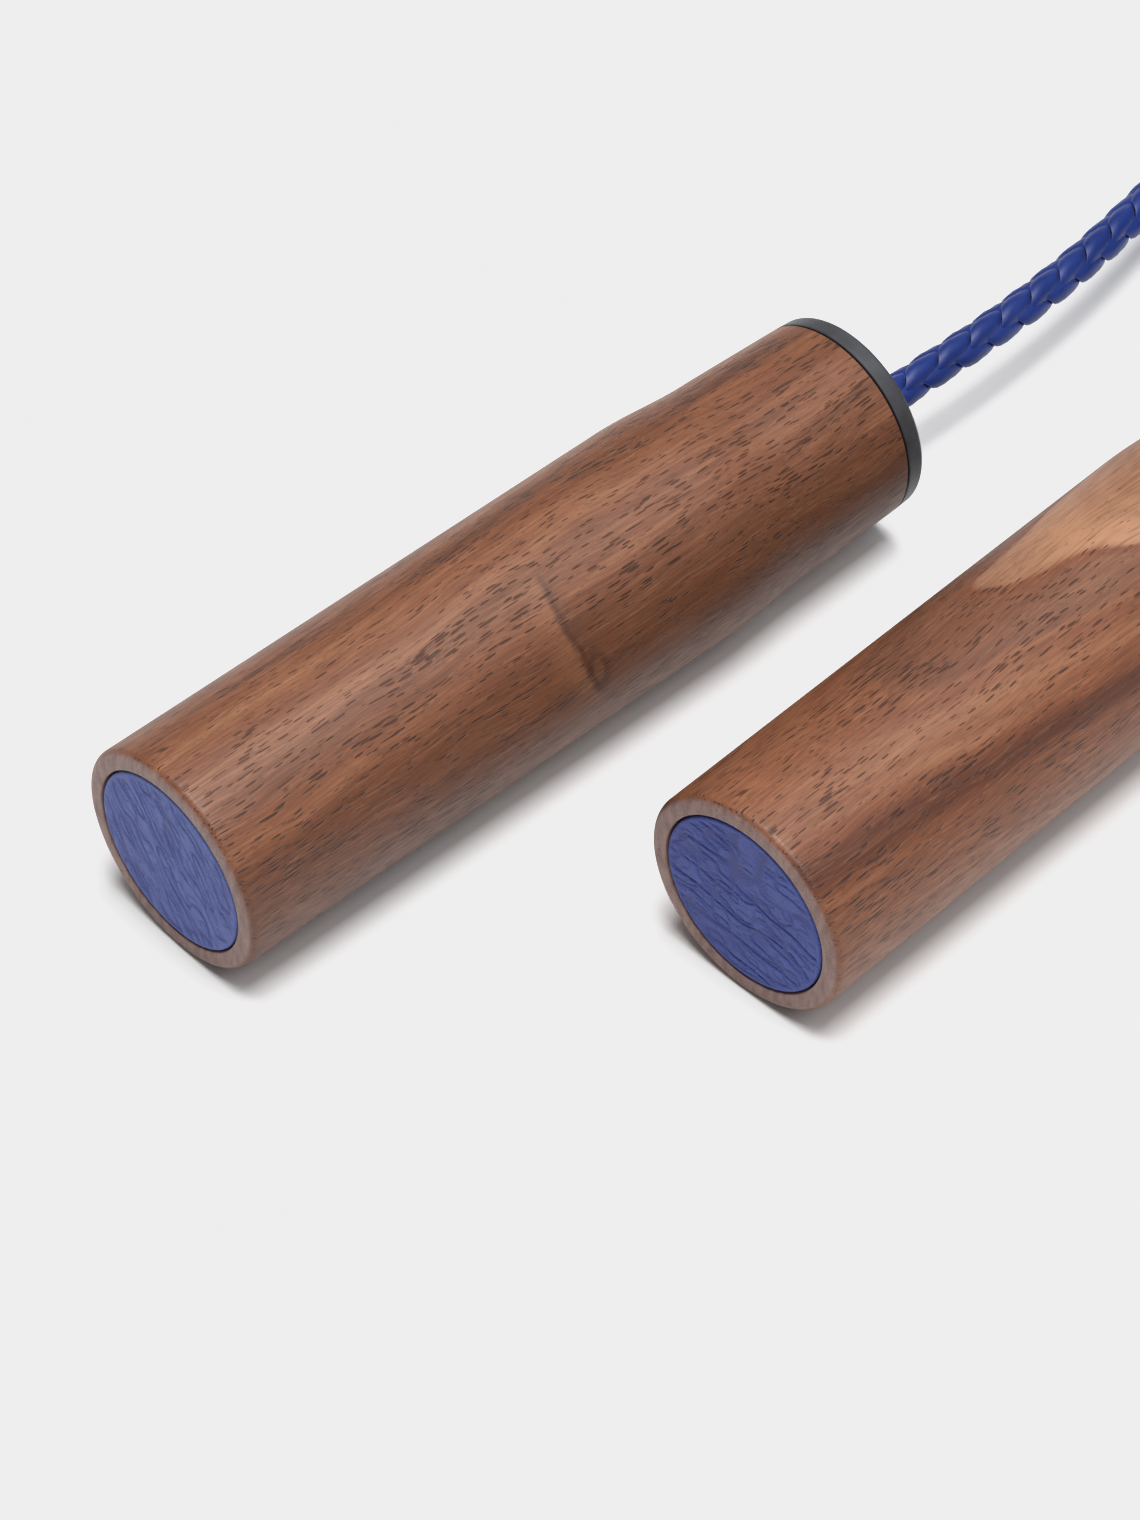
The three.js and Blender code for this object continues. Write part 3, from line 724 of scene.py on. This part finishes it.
def twig_trace(wood, own, tone):
    """A crescent at station = KNOT_STATION + KNOT_BEND u^2, where u runs round
    the grip, dark in a thin wavering line, reddish before it and shaded behind
    it. The eye is a dark ring about a small warm heart."""
    node = wood.add("ShaderNodeMapping", vector_type="POINT")
    turn = (0, math.radians(KNOT_FACING - 90), 0)
    near = wood.feed(node, {"Vector": own, "Rotation": turn})
    axes = wood.add("ShaderNodeSeparateXYZ")
    wood.feed(axes, {0: near})
    u, station, out = axes.outputs
    wobble = wood.times(wood.noise(near, 0.35, 2.0), KNOT_WOBBLE)
    curve = wood.math("MULTIPLY_ADD", wood.times(u, u), KNOT_BEND,
                      KNOT_STATION + KNOT_WOBBLE / 2)
    past = wood.math("SUBTRACT", wood.math("ADD", station, wobble), curve)
    facing = wood.between(out, 4.0, 9.0)
    window = wood.times(strip(wood, u, -9.0, -5.5, 10.0, 13.0), facing)

    for edges, strength, colour in (((-7.0, -0.6, -0.4, 0.4), 0.5, KNOT_WARM),
                                    ((-0.3, 0.6, 1.0, 3.6), 0.35, KNOT_SHADE)):
        share = wood.times(strip(wood, past, *edges), window)
        tone = wood.blend(wood.times(share, strength), tone, colour)
    line = wood.between(wood.math("ABSOLUTE", past), 0.05, 1.0, 0.62, 0.0)
    tone = wood.blend(wood.times(line, window), tone, KNOT_LINE)

    middle = (EYE_ROUND * EYE_NARROW, KNOT_STATION + EYE_PAST, 0.0)
    flat = wood.stretch(near, EYE_NARROW, 1.0, 0.0)
    eye = wood.add("ShaderNodeVectorMath", operation="DISTANCE")
    eye = wood.feed(eye, {0: flat, 1: middle}, "Value")
    rim = wood.times(strip(wood, eye, 0.7, 1.2, 1.4, 2.4), facing)
    tone = wood.blend(wood.times(rim, 0.42), tone, EYE_RIM)
    heart = wood.times(wood.between(eye, 0.4, 1.2, 0.5, 0.0), facing)
    return wood.blend(heart, tone, EYE_HEART)


# %% The left grip's tones
LEFT_TONES = ((0.30, (0.091, 0.033, 0.016)), (0.44, (0.133, 0.051, 0.025)),
              (0.56, (0.171, 0.069, 0.035)), (0.70, (0.226, 0.105, 0.055)))
# A dark heartwood tone that also paints shade on the low side facing the right grip.
LEFT_HEARTWOOD_AND_SHADE = (0.082, 0.034, 0.021)


def left_walnut():
    """Tones by growth ring, darker on the low side that faces the right grip,
    partly heartwood and partly painted shade, then the twig's trace, the
    fibres and the pores."""
    wood, own, bent, depth = walnut_block("left", -28, 0.03)
    ring = growth_rings(wood, own, depth, 0.26, 0.010)
    # Partly heartwood, partly painted shade: the low side facing the right grip is darkened.
    heart = wood.times(wood.between(depth, 5.0, 11.5), 0.45)
    tone = wood.blend(heart, wood.tones(ring, LEFT_TONES), LEFT_HEARTWOOD_AND_SHADE)
    tone = twig_trace(wood, own, tone)
    density = wood.between(ring, 0.36, 0.62, 1.0, 0.45)
    return finish_walnut(wood, own, bent, tone, density)


left_finish = left_walnut()

# %% [markdown]
# ### The right grip's log
# This block lay near the bark, and its sheets face the top of the grip and
# tilt a little along it. So the pale sapwood shows as a pointed tongue, older
# sheets nest below it, and one dark sheet leaves a long slanting band.

# %% Finish: right walnut
HEART, TAN, GREY = (0.155, 0.056, 0.027), (0.193, 0.077, 0.038), (0.136, 0.056, 0.031)
DARK, SAP = (0.072, 0.024, 0.014), (0.325, 0.165, 0.096)
# The tan stop at -4 mm lies on the grip's lower right flank. There its paler tone is partly
# wood and partly a painted reflection of the bright table.
SHEETS = ((-20, HEART), (-4, TAN), (7.5, HEART), (10.0, DARK), (11.6, DARK),
          (13.2, HEART), (16.5, TAN), (19.7, HEART), (20.1, TAN), (20.7, GREY),
          (22.8, GREY), (23.4, HEART), (23.6, SAP), (30, SAP))
DARK_RING, PALE_RING = (0.100, 0.039, 0.021), (0.265, 0.135, 0.076)
SAP_PORES = 0.06


def right_walnut():
    """Tones by the depth of each sheet, in millimetres, then finer rings. The
    tan sheet on the lower right flank is partly a painted reflection. The
    sapwood has hardly any open pores."""
    wood, own, bent, depth = walnut_block("right", 106, 0.11)
    low, high = SHEETS[0][0], SHEETS[-1][0]
    place = wood.math("DIVIDE", wood.math("SUBTRACT", depth, low), high - low)
    tone = wood.tones(place, [((d - low) / (high - low), c) for d, c in SHEETS])
    ring = growth_rings(wood, own, depth, 0.33, 0.012, 7.0)
    tone = wood.blend(wood.between(ring, 0.33, 0.55, 0.45, 0.0), tone, DARK_RING)
    tone = wood.blend(wood.between(ring, 0.5, 0.7, 0.0, 0.35), tone, PALE_RING)
    in_heart = wood.between(depth, 23.3, 23.7, 1.0, SAP_PORES)
    density = wood.times(in_heart, wood.between(ring, 0.38, 0.60, 1.0, 0.5))
    return finish_walnut(wood, own, bent, tone, density)


right_finish = right_walnut()

# %% [markdown]
# ### Turning the grips
# The outline starts in the shallow recess for the leather, rolls over a small
# rounded edge, runs straight for most of the length, draws in over a soft
# shoulder to a slimmer neck, and ends in the bore that takes the metal cap.
# The end faces cut the log across, so they carry an attribute that tells the
# finish to show end grain.

# %% Turn both grips
WOOD_FRONT = 127.0
RIM_EDGE = 1.3
RECESS_RADIUS, RECESS_DEPTH = 14.45, 2.3
SHOULDER_START, SHOULDER_LENGTH = 92.2, 17.0
NECK_RADIUS = 16.0
BORE_RADIUS, BORE_FLOOR = 12.05, 101.9
POCKET_RADIUS, POCKET_FLOOR = 8.0, 85.7


def wood_outline():
    """Radius against station. The shoulder is half a cosine wave that takes
    one millimetre off the radius."""
    share = np.linspace(0, 1, 24)
    shoulder = np.stack([GRIP_RADIUS - ease(share),
                         SHOULDER_START + SHOULDER_LENGTH * share], -1).tolist()
    recess = [(0, RECESS_DEPTH), (4, RECESS_DEPTH), (14.2, RECESS_DEPTH),
              (RECESS_RADIUS, 2.1), (RECESS_RADIUS, 0.25), (14.55, 0.07), (14.75, 0.0)]
    rim = (straight((14.9, 0.0), (GRIP_RADIUS - RIM_EDGE, 0.0), 4)
           + rounded(GRIP_RADIUS - RIM_EDGE, RIM_EDGE, RIM_EDGE, -90, 0, 9))
    body = straight((GRIP_RADIUS, 3.0), (GRIP_RADIUS, 92.0), 46) + shoulder
    neck = straight((16.49, 110.0), (16.02, 126.6), 9) + [
        (NECK_RADIUS, 126.85), (15.85, WOOD_FRONT), (12.2, WOOD_FRONT)]
    bore = [(BORE_RADIUS, 126.85), (BORE_RADIUS, BORE_FLOOR),
            (POCKET_RADIUS, BORE_FLOOR), (POCKET_RADIUS, POCKET_FLOOR),
            (3, POCKET_FLOOR), (0, POCKET_FLOOR)]
    return recess + rim + body + neck + bore


def end_grain_of(points):
    """1 on faces that cut across the trunk: by station and radius, fading
    over half a millimetre of the rounded edge."""
    radius, station = np.hypot(points[:, 0], points[:, 2]), points[:, 1]
    rim = (np.clip((0.75 - station) / 0.5, 0, 1)
           * np.clip((17.2 - radius) / 0.5, 0, 1))
    near = 0.05
    floor = (np.abs(station - RECESS_DEPTH) < near) | (np.abs(station - BORE_FLOOR) < near)
    front = (station > WOOD_FRONT - near) & (radius < NECK_RADIUS - 0.1)
    return np.maximum(rim, floor | front)


for side, walnut in (("left", left_finish), ("right", right_finish)):
    points, faces = turned(wood_outline(), 192)
    grip = mesh_piece(side + "_walnut_grip", carry(side, points), faces, walnut,
                      {"end_grain": end_grain_of(points)}, crease_angle=35)
    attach(grip, side + "_grip")
    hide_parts(side + "_grip")

# %% [markdown]
# ## Leather discs
# Each disc is cut from thick dyed cowhide and glued into its recess. Hide is
# not evenly rough: it folds in long creases one way, with smaller ones between.
# A bump map would give the shading but a flat silhouette and no shadow in the
# creases, so the creases are pressed into the mesh, and the same height is
# kept as an attribute that paints extra shade into them. The right disc's piece
# of hide is darker, and has a few longer and deeper folds.

# %% Creased hide
FIELD_SIZE = 64
MAJOR_WIDTH, MINOR_WIDTH, FOLD_WIDTH = 0.085, 0.10, 0.05
MINOR_SHARE = 0.55
WAVER_MM = 1.3


def soft_field(u, v, seed):
    """Random heights at whole numbers, blended by 3t^2 - 2t^3 in between."""
    table = np.random.default_rng(seed).random((FIELD_SIZE, FIELD_SIZE))
    iu, iv = np.floor(u).astype(int), np.floor(v).astype(int)
    fu, fv = u - iu, v - iv
    fu, fv = fu * fu * (3 - 2 * fu), fv * fv * (3 - 2 * fv)
    iu_next, iv_next = (iu + 1) % FIELD_SIZE, (iv + 1) % FIELD_SIZE
    iu, iv = iu % FIELD_SIZE, iv % FIELD_SIZE
    a, b = table[iu, iv], table[iu_next, iv]
    c, d = table[iu, iv_next], table[iu_next, iv_next]
    return (a * (1 - fu) + b * fu) * (1 - fv) + (c * (1 - fu) + d * fu) * fv


def creases(across, up, hide):
    """Thin valleys where a stretched random field passes one half: exp(-((field
    - 0.5) / width)^2). The field is longer along the creases than across them,
    and bent by a slower one. A coarser field gives the few long folds."""
    length, gap, seed = hide["length"], hide["gap"], hide["seed"]
    turn = math.radians(hide["direction"])
    along = across * math.cos(turn) + up * math.sin(turn)
    beside = up * math.cos(turn) - across * math.sin(turn)
    waver = soft_field(along / 4.2 + 9, beside / 3.4 + 31, seed + 5)
    beside = beside + WAVER_MM * waver
    field = soft_field(along / length + 20, beside / gap + 20, seed)
    finer = soft_field(along / (length * 0.45) + 40, beside / (gap * 0.55) + 7, seed + 1)
    folds = soft_field(along / (2.4 * length) + 3, beside / (3.1 * gap) + 11, seed + 2)
    major = np.exp(-((field - 0.5) / MAJOR_WIDTH) ** 2)
    minor = np.exp(-((finer - 0.5) / MINOR_WIDTH) ** 2)
    deepest = hide["folds"] * np.exp(-((folds - 0.5) / FOLD_WIDTH) ** 2)
    return np.maximum(np.maximum(major, deepest), MINOR_SHARE * minor), field


HIDE = {
    "left": {"direction": -58, "length": 4.6, "gap": 1.05, "seed": 11,
             "depth": 0.19, "folds": 0.0,
             "deep": (0.073, 0.101, 0.288), "pale": (0.099, 0.133, 0.345)},
    "right": {"direction": -4, "length": 3.4, "gap": 1.45, "seed": 23,
              "depth": 0.22, "folds": 1.25,
              "deep": (0.038, 0.058, 0.232), "pale": (0.054, 0.079, 0.284)},
}
for side, hide in HIDE.items():
    print(side, "hide is creased", hide["depth"], "mm deep, every", hide["gap"], "mm or so")

# %% Finish: blue hide
# The second blue is painted shade for the creases.
PEBBLE_DYE, PAINTED_CREASE_SHADE = (0.060, 0.078, 0.240), (0.036, 0.047, 0.180)


def hide_finish(side):
    """Dye in clouds of two blues, darker between the pebbles, with painted
    shade in the creases, over a fine grain."""
    hide = Finish(side + "_blue_hide", Roughness=0.6, Specular_IOR_Level=0.35)
    spot = hide.place()
    crease = hide.attribute("crease")
    cloud = hide.noise(spot, 0.22, 3.0)
    colour = hide.tones(cloud, [(0.3, HIDE[side]["deep"]), (0.7, HIDE[side]["pale"])])
    pebble = hide.cells(spot, 2.6)
    colour = hide.blend(hide.between(pebble, 0.25, 0.7, 0.0, 0.22), colour, PEBBLE_DYE)
    # Painted shade: the creases get a darker blue by their depth.
    colour = hide.blend(hide.times(crease, 0.72), colour, PAINTED_CREASE_SHADE)
    hide.set("Base Color", colour)
    fine = hide.noise(spot, 5.0, 3.0, 0.6)
    hide.set("Normal", hide.bump(hide.math("SUBTRACT", fine, pebble), 0.09))
    return hide.done()


# %% Cut and crease both discs
DISC_RADIUS, DISC_THICKNESS, DISC_EDGE = 14.2, 2.0, 0.5
DISC_FLAT = 13.7
SWELL_MM, SUNK_MM = 0.06, 0.02
disc_outline = (straight((0, 0), (DISC_FLAT, 0.0), 88)
                + rounded(DISC_FLAT, DISC_EDGE, DISC_EDGE, -90, 0, 5)
                + [(DISC_RADIUS, 1.9), (14.1, DISC_THICKNESS),
                   (7, DISC_THICKNESS), (0, DISC_THICKNESS)])

for side, hide in HIDE.items():
    points, faces = turned(disc_outline, 448)
    crease, swell = creases(points[:, 0], points[:, 2], hide)
    radius = np.hypot(points[:, 0], points[:, 2])
    pressed = np.clip((14.0 - radius) / 0.8, 0, 1) * (points[:, 1] < 0.2)
    points[:, 1] += pressed * (hide["depth"] * crease - SWELL_MM * swell + SUNK_MM)
    disc = mesh_piece(side + "_leather_face", carry(side, points), faces, hide_finish(side),
                      {"crease": crease * pressed}, crease_angle=60)
    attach(disc, side + "_grip")
    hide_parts(side + "_leather_disc")

# %% [markdown]
# ## Metal caps
# The cap is one turned piece: the dark ring that shows in front of the wood,
# and a hidden barrel that holds the bearing. Its finish is bead-blasted and
# anodised, so it is darker and softer than bare metal, and only a third of the
# shader is metal. The outline closes on itself, because the rope passes through
# the middle.

# %% Finish: dark anodised metal
def turned_metal(name, colour, roughness, marks=0.012, metallic=1.0):
    """Metal with fine random tool marks and a slightly uneven shine."""
    metal = Finish(name, Metallic=metallic)
    spot = metal.place()
    cloud = metal.noise(spot, 0.35, 3.0)
    fine = metal.noise(spot, 9.0, 2.0)
    darker = tuple(0.72 * c for c in colour)
    metal.set("Base Color", metal.tones(cloud, [(0.3, darker), (0.7, colour)]))
    metal.set("Roughness", metal.between(fine, 0.3, 0.7, roughness - 0.06, roughness + 0.06))
    metal.set("Normal", metal.bump(fine, marks))
    return metal.done()


anodised = turned_metal("dark_anodised_metal", (0.060, 0.061, 0.068), 0.52, 0.02, 0.35)

# %% Turn both caps
BARREL_RADIUS, BARREL_BACK = 11.75, 102.2
FLANGE_RADIUS, FLANGE_BACK = 15.98, 127.3
CAP_FACE, CAP_EDGE = 130.4, 0.8
CAP_EDGE_STATION = 129.6
MOUTH_RADIUS, MOUTH_BACK = 6.3, 126.8
TUNNEL_RADIUS, TUNNEL_BACK = 8.6, 111.5
HOUSING_RADIUS = 10.25
GROOVE_RADIUS, GROOVE_FRONT, GROOVE_BACK = 10.75, 105.2, 103.7


def cap_outline():
    """The flange with its rounded front edge, the mouth, the tunnel behind
    it, and the housing with its clip groove, back to the barrel's end."""
    barrel = [(BARREL_RADIUS, BARREL_BACK), (BARREL_RADIUS, 127.15)]
    flange = [(11.9, FLANGE_BACK), (15.85, FLANGE_BACK), (FLANGE_RADIUS, 127.42)]
    front = (straight((FLANGE_RADIUS, 127.5), (15.84, 129.5), 5)
             + rounded(15.05, CAP_EDGE_STATION, CAP_EDGE, 2, 90, 9)
             + straight((14.9, CAP_FACE), (7.3, CAP_FACE), 6)
             + rounded(7.1, CAP_EDGE_STATION, CAP_EDGE, 90, 180, 7))
    tunnel = [(MOUTH_RADIUS, MOUTH_BACK), (TUNNEL_RADIUS, MOUTH_BACK),
              (TUNNEL_RADIUS, TUNNEL_BACK)]
    housing = [(HOUSING_RADIUS, TUNNEL_BACK), (HOUSING_RADIUS, GROOVE_FRONT),
               (GROOVE_RADIUS, GROOVE_FRONT), (GROOVE_RADIUS, GROOVE_BACK),
               (HOUSING_RADIUS, GROOVE_BACK), (HOUSING_RADIUS, BARREL_BACK)]
    return barrel + flange + front + tunnel + housing


for side in EXITS:
    points, faces = turned(cap_outline(), 160, ring=True)
    cap = mesh_piece(side + "_metal_cap", carry(side, points), faces, anodised, crease_angle=32)
    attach(cap, side + "_grip")
    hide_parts(side + "_end_cap")

# %% [markdown]
# ## The bearing's small parts
# Races, shields, balls, clips, spindle and ferrule are exact in the packed
# model, so their meshes stay and only their finishes change.

# %% Finishes for the carried parts
steel = turned_metal("bearing_steel", (0.62, 0.63, 0.65), 0.20, 0.004)
spring = turned_metal("spring_steel", (0.13, 0.13, 0.14), 0.38)
brass = turned_metal("brass", (0.60, 0.42, 0.17), 0.28)
NYLON_TONES = ((0.3, (0.62, 0.58, 0.46)), (0.7, (0.70, 0.66, 0.54)))
moulded = Finish("moulded_nylon", Roughness=0.5)
speck = moulded.noise(moulded.place(), 4.0, 3.0)
moulded.set("Base Color", moulded.tones(speck, NYLON_TONES))
moulded.set("Normal", moulded.bump(speck, 0.02))
PART_FINISH = {"race": steel, "ball": steel, "shield": steel, "spindle": steel,
               "circlip": spring, "cage": moulded.done(),
               "washer": brass, "ferrule": brass}
SHOWN_AS_PIECES = ("grip", "leather_disc", "end_cap")


def finish_for(node_name):
    """The last word in PART_FINISH that the node's name holds decides."""
    return [v for k, v in PART_FINISH.items() if k in node_name][-1]


finished = []
for name, node in nodes.items():
    if name.startswith("rope_") and not name.endswith("ferrule"):
        continue
    if name.split("_", 1)[1] in SHOWN_AS_PIECES:
        continue
    for slot in node.material_slots:
        slot.material = finish_for(name)
    finished.append(name)
print("finished", len(finished), "parts of the two bearings")

# %% [markdown]
# ## The tie
# A flat strap of the same blue hide keeps the coil together. It is a band of
# one thickness with rounded edges, carried round a rounded box, and a brass
# stud closes it. Solidify and Bevel on a flat strip would do the same, but a
# section carried along a path gives both edges and both faces in one step.

# %% The band's path round the coil
TIE_WIDTH, TIE_THICKNESS, TIE_CORNER = 8.0, 1.2, 3.0
PATH_STEPS = 220


def band_path():
    """A rounded box in the plane that stands across the coil's near side:
    out (away from the coil's middle) and up, walked in equal steps."""
    low, high = (np.array(c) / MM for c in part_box("rope_tie"))
    inner, outer = COIL_CENTRE[1] - high[1], COIL_CENTRE[1] - low[1]
    half = TIE_THICKNESS / 2
    left, right, bottom, top = inner + half, outer - half, low[2] + half, high[2] - half
    size = TIE_CORNER - half
    centres = ((right - size, top - size, 0), (left + size, top - size, 90),
               (left + size, bottom + size, 180), (right - size, bottom + size, 270))
    loop = [p for r, s, a in centres for p in rounded(r, s, size, a, a + 90, 10)]
    loop = np.array(loop + loop[:1])
    length = np.linalg.norm(np.diff(loop, axis=0), axis=1).sum()
    return even_steps(loop, length / PATH_STEPS)[:-1]


band = band_path()
print("the tie's path has", len(band), "points")

# %% Carry a rounded section along it
SECTION_POINTS = 20
SQUARE_ACROSS, SQUARE_OUT = 0.28, 0.55


def outward(loop):
    """Unit vectors out of a closed flat loop: its direction at each point,
    turned a quarter, on the side away from its middle."""
    ahead = np.roll(loop, -1, 0) - np.roll(loop, 1, 0)
    out = np.stack([ahead[:, 1], -ahead[:, 0]], -1)
    out /= np.linalg.norm(out, axis=1)[:, None]
    return out * np.sign(((loop - loop.mean(0)) * out).sum())


def beside_band(across, out):
    """Points a given way across the band and out from its middle surface."""
    flat = band[:, None, :] + out[None, :, None] * outward(band)[:, None, :]
    x = COIL_CENTRE[0] + across[None, :] + 0 * flat[..., 0]
    return np.stack([x, COIL_CENTRE[1] - flat[..., 0], flat[..., 1]], -1)


a = 2 * math.pi * (np.arange(SECTION_POINTS) + 0.5) / SECTION_POINTS
tie_points = beside_band(TIE_WIDTH / 2 * squared(np.cos(a), SQUARE_ACROSS),
                         TIE_THICKNESS / 2 * squared(np.sin(a), SQUARE_OUT))
tie_faces = grid_faces(len(band), SECTION_POINTS, close_rows=True).tolist()
TIE_TONES = ((0.1, (0.070, 0.093, 0.300)), (0.8, (0.045, 0.058, 0.205)))
tie_leather = Finish("tie_leather", Roughness=0.58, Specular_IOR_Level=0.35)
tie_pebble = tie_leather.cells(tie_leather.place(), 1.6)
tie_leather.set("Base Color", tie_leather.tones(tie_pebble, TIE_TONES))
tie_hollows = tie_leather.times(tie_pebble, -1.0)
tie_leather.set("Normal", tie_leather.bump(tie_hollows, 0.06))
tie = mesh_piece("leather_tie", tie_points.reshape(-1, 3), tie_faces,
                 tie_leather.done(), crease_angle=60)
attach(tie, "rope")
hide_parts("rope_tie")

# %% Its stud
STUD_RADIUS, STUD_RIM, STUD_RIM_HEIGHT, STUD_DOME = 2.6, 2.75, 0.25, 0.75
STUD_SUNK = 0.05


def stud_outline():
    """A low dome, a fifth as high as it is wide, with a thin rim."""
    a = np.radians(np.linspace(90, 0, 12))
    dome = list(zip(STUD_RADIUS * np.cos(a), STUD_RIM_HEIGHT + STUD_DOME * np.sin(a)))
    return dome + [(STUD_RIM, 0.2), (STUD_RIM, 0.0), (1.0, 0.0), (0, 0.0)]


points, faces = turned(stud_outline(), 48)
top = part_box("rope_tie")[1][2] / MM
middle = COIL_CENTRE[1] - band[:, 0].mean()
points = np.stack([COIL_CENTRE[0] + points[:, 0], middle + points[:, 2],
                   top - STUD_SUNK + points[:, 1]], -1)
stud = mesh_piece("tie_stud", points, faces, brass, crease_angle=50)
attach(stud, "rope")

# %% [markdown]
# ## Table and light
# The table is a wide plain sheet. One large soft light hangs almost overhead,
# an even pale room fills the shadows, and a weak second box on the right keeps
# the grips' right flanks from going dull. A small strong lamp would be simpler,
# but it would draw a hard-edged shadow beside each grip.

# %% The table and the room
TABLE_HALF = 4
TABLE_TONES = ((0.3, (0.795, 0.795, 0.795)), (0.7, (0.805, 0.805, 0.805)))
table_top = Finish("table_top", Roughness=0.9, Specular_IOR_Level=0.1)
dust = table_top.noise(table_top.place(), 0.02, 2.0)
table_top.set("Base Color", table_top.tones(dust, TABLE_TONES))
table_mesh = bpy.data.meshes.new("table")
table_corners = [(x * TABLE_HALF, y * TABLE_HALF, 0)
                 for x, y in ((-1, -1), (1, -1), (1, 1), (-1, 1))]
table_mesh.from_pydata(table_corners, [], [(0, 1, 2, 3)])
table_mesh.materials.append(table_top.done())
table = bpy.data.objects.new("table", table_mesh)
bpy.context.collection.objects.link(table)

ROOM_LIGHT = (0.25, 0.25, 0.2525, 1)
room = bpy.data.worlds.new("room")
room.use_nodes = True
room.node_tree.nodes["Background"].inputs["Color"].default_value = ROOM_LIGHT
bpy.context.scene.world = room

# %% The lights
def soft_box(name, place, size, watts):
    """A square lamp that faces the middle of the table: it leans from the
    vertical by atan2(distance sideways, height), towards its own bearing."""
    lamp = bpy.data.lights.new(name, "AREA")
    lamp.size, lamp.energy = size, watts
    holder = bpy.data.objects.new(name, lamp)
    holder.location = place
    x, y, height = place
    holder.rotation_euler = (math.atan2(math.hypot(x, y), height), 0.0,
                             math.atan2(x, -y))
    bpy.context.collection.objects.link(holder)
    print(name, "gives", watts, "W from", place)


soft_box("overhead_box", (0.14, 0.0, 2.2), 1.3, 82.0)
soft_box("side_box", (1.25, 0.2, 1.9), 0.8, 10.0)

# %% [markdown]
# ## Tone curve
# The table should be one even pale grey with soft shadows on it. One lamp alone
# can't give that, because the table is brighter under it than further out. So
# the table is lit a little too strongly, and the view's tone curve is level at
# FLOOR_TONE: every bright part of the table then shows the same grey. Below it
# the curve is nearly straight, and only the deepest tones are drawn down a
# little. The points are joined by straight lines, because rounded ones would
# dip where the level part begins.

# %% The view's tone curve
FLOOR_TONE = 0.855
TONES = ((0.03, 0.022), (0.15, 0.14), (0.30, 0.296), (0.80, 0.79), (0.93, FLOOR_TONE))
ALL_CHANNELS = 3

view = bpy.context.scene.view_settings
view.view_transform = "Standard"
view.use_curve_mapping = True
tone = view.curve_mapping.curves[ALL_CHANNELS]
for raw, shown in TONES:
    tone.points.new(raw, shown)
tone.points[-1].location = (1.0, FLOOR_TONE)
for point in tone.points:
    point.handle_type = "VECTOR"
view.curve_mapping.white_level = (1.0, 1.0, 1.0)
view.curve_mapping.use_clip = True
view.curve_mapping.update()
print("tone curve", [tuple(round(v, 3) for v in point.location) for point in tone.points])
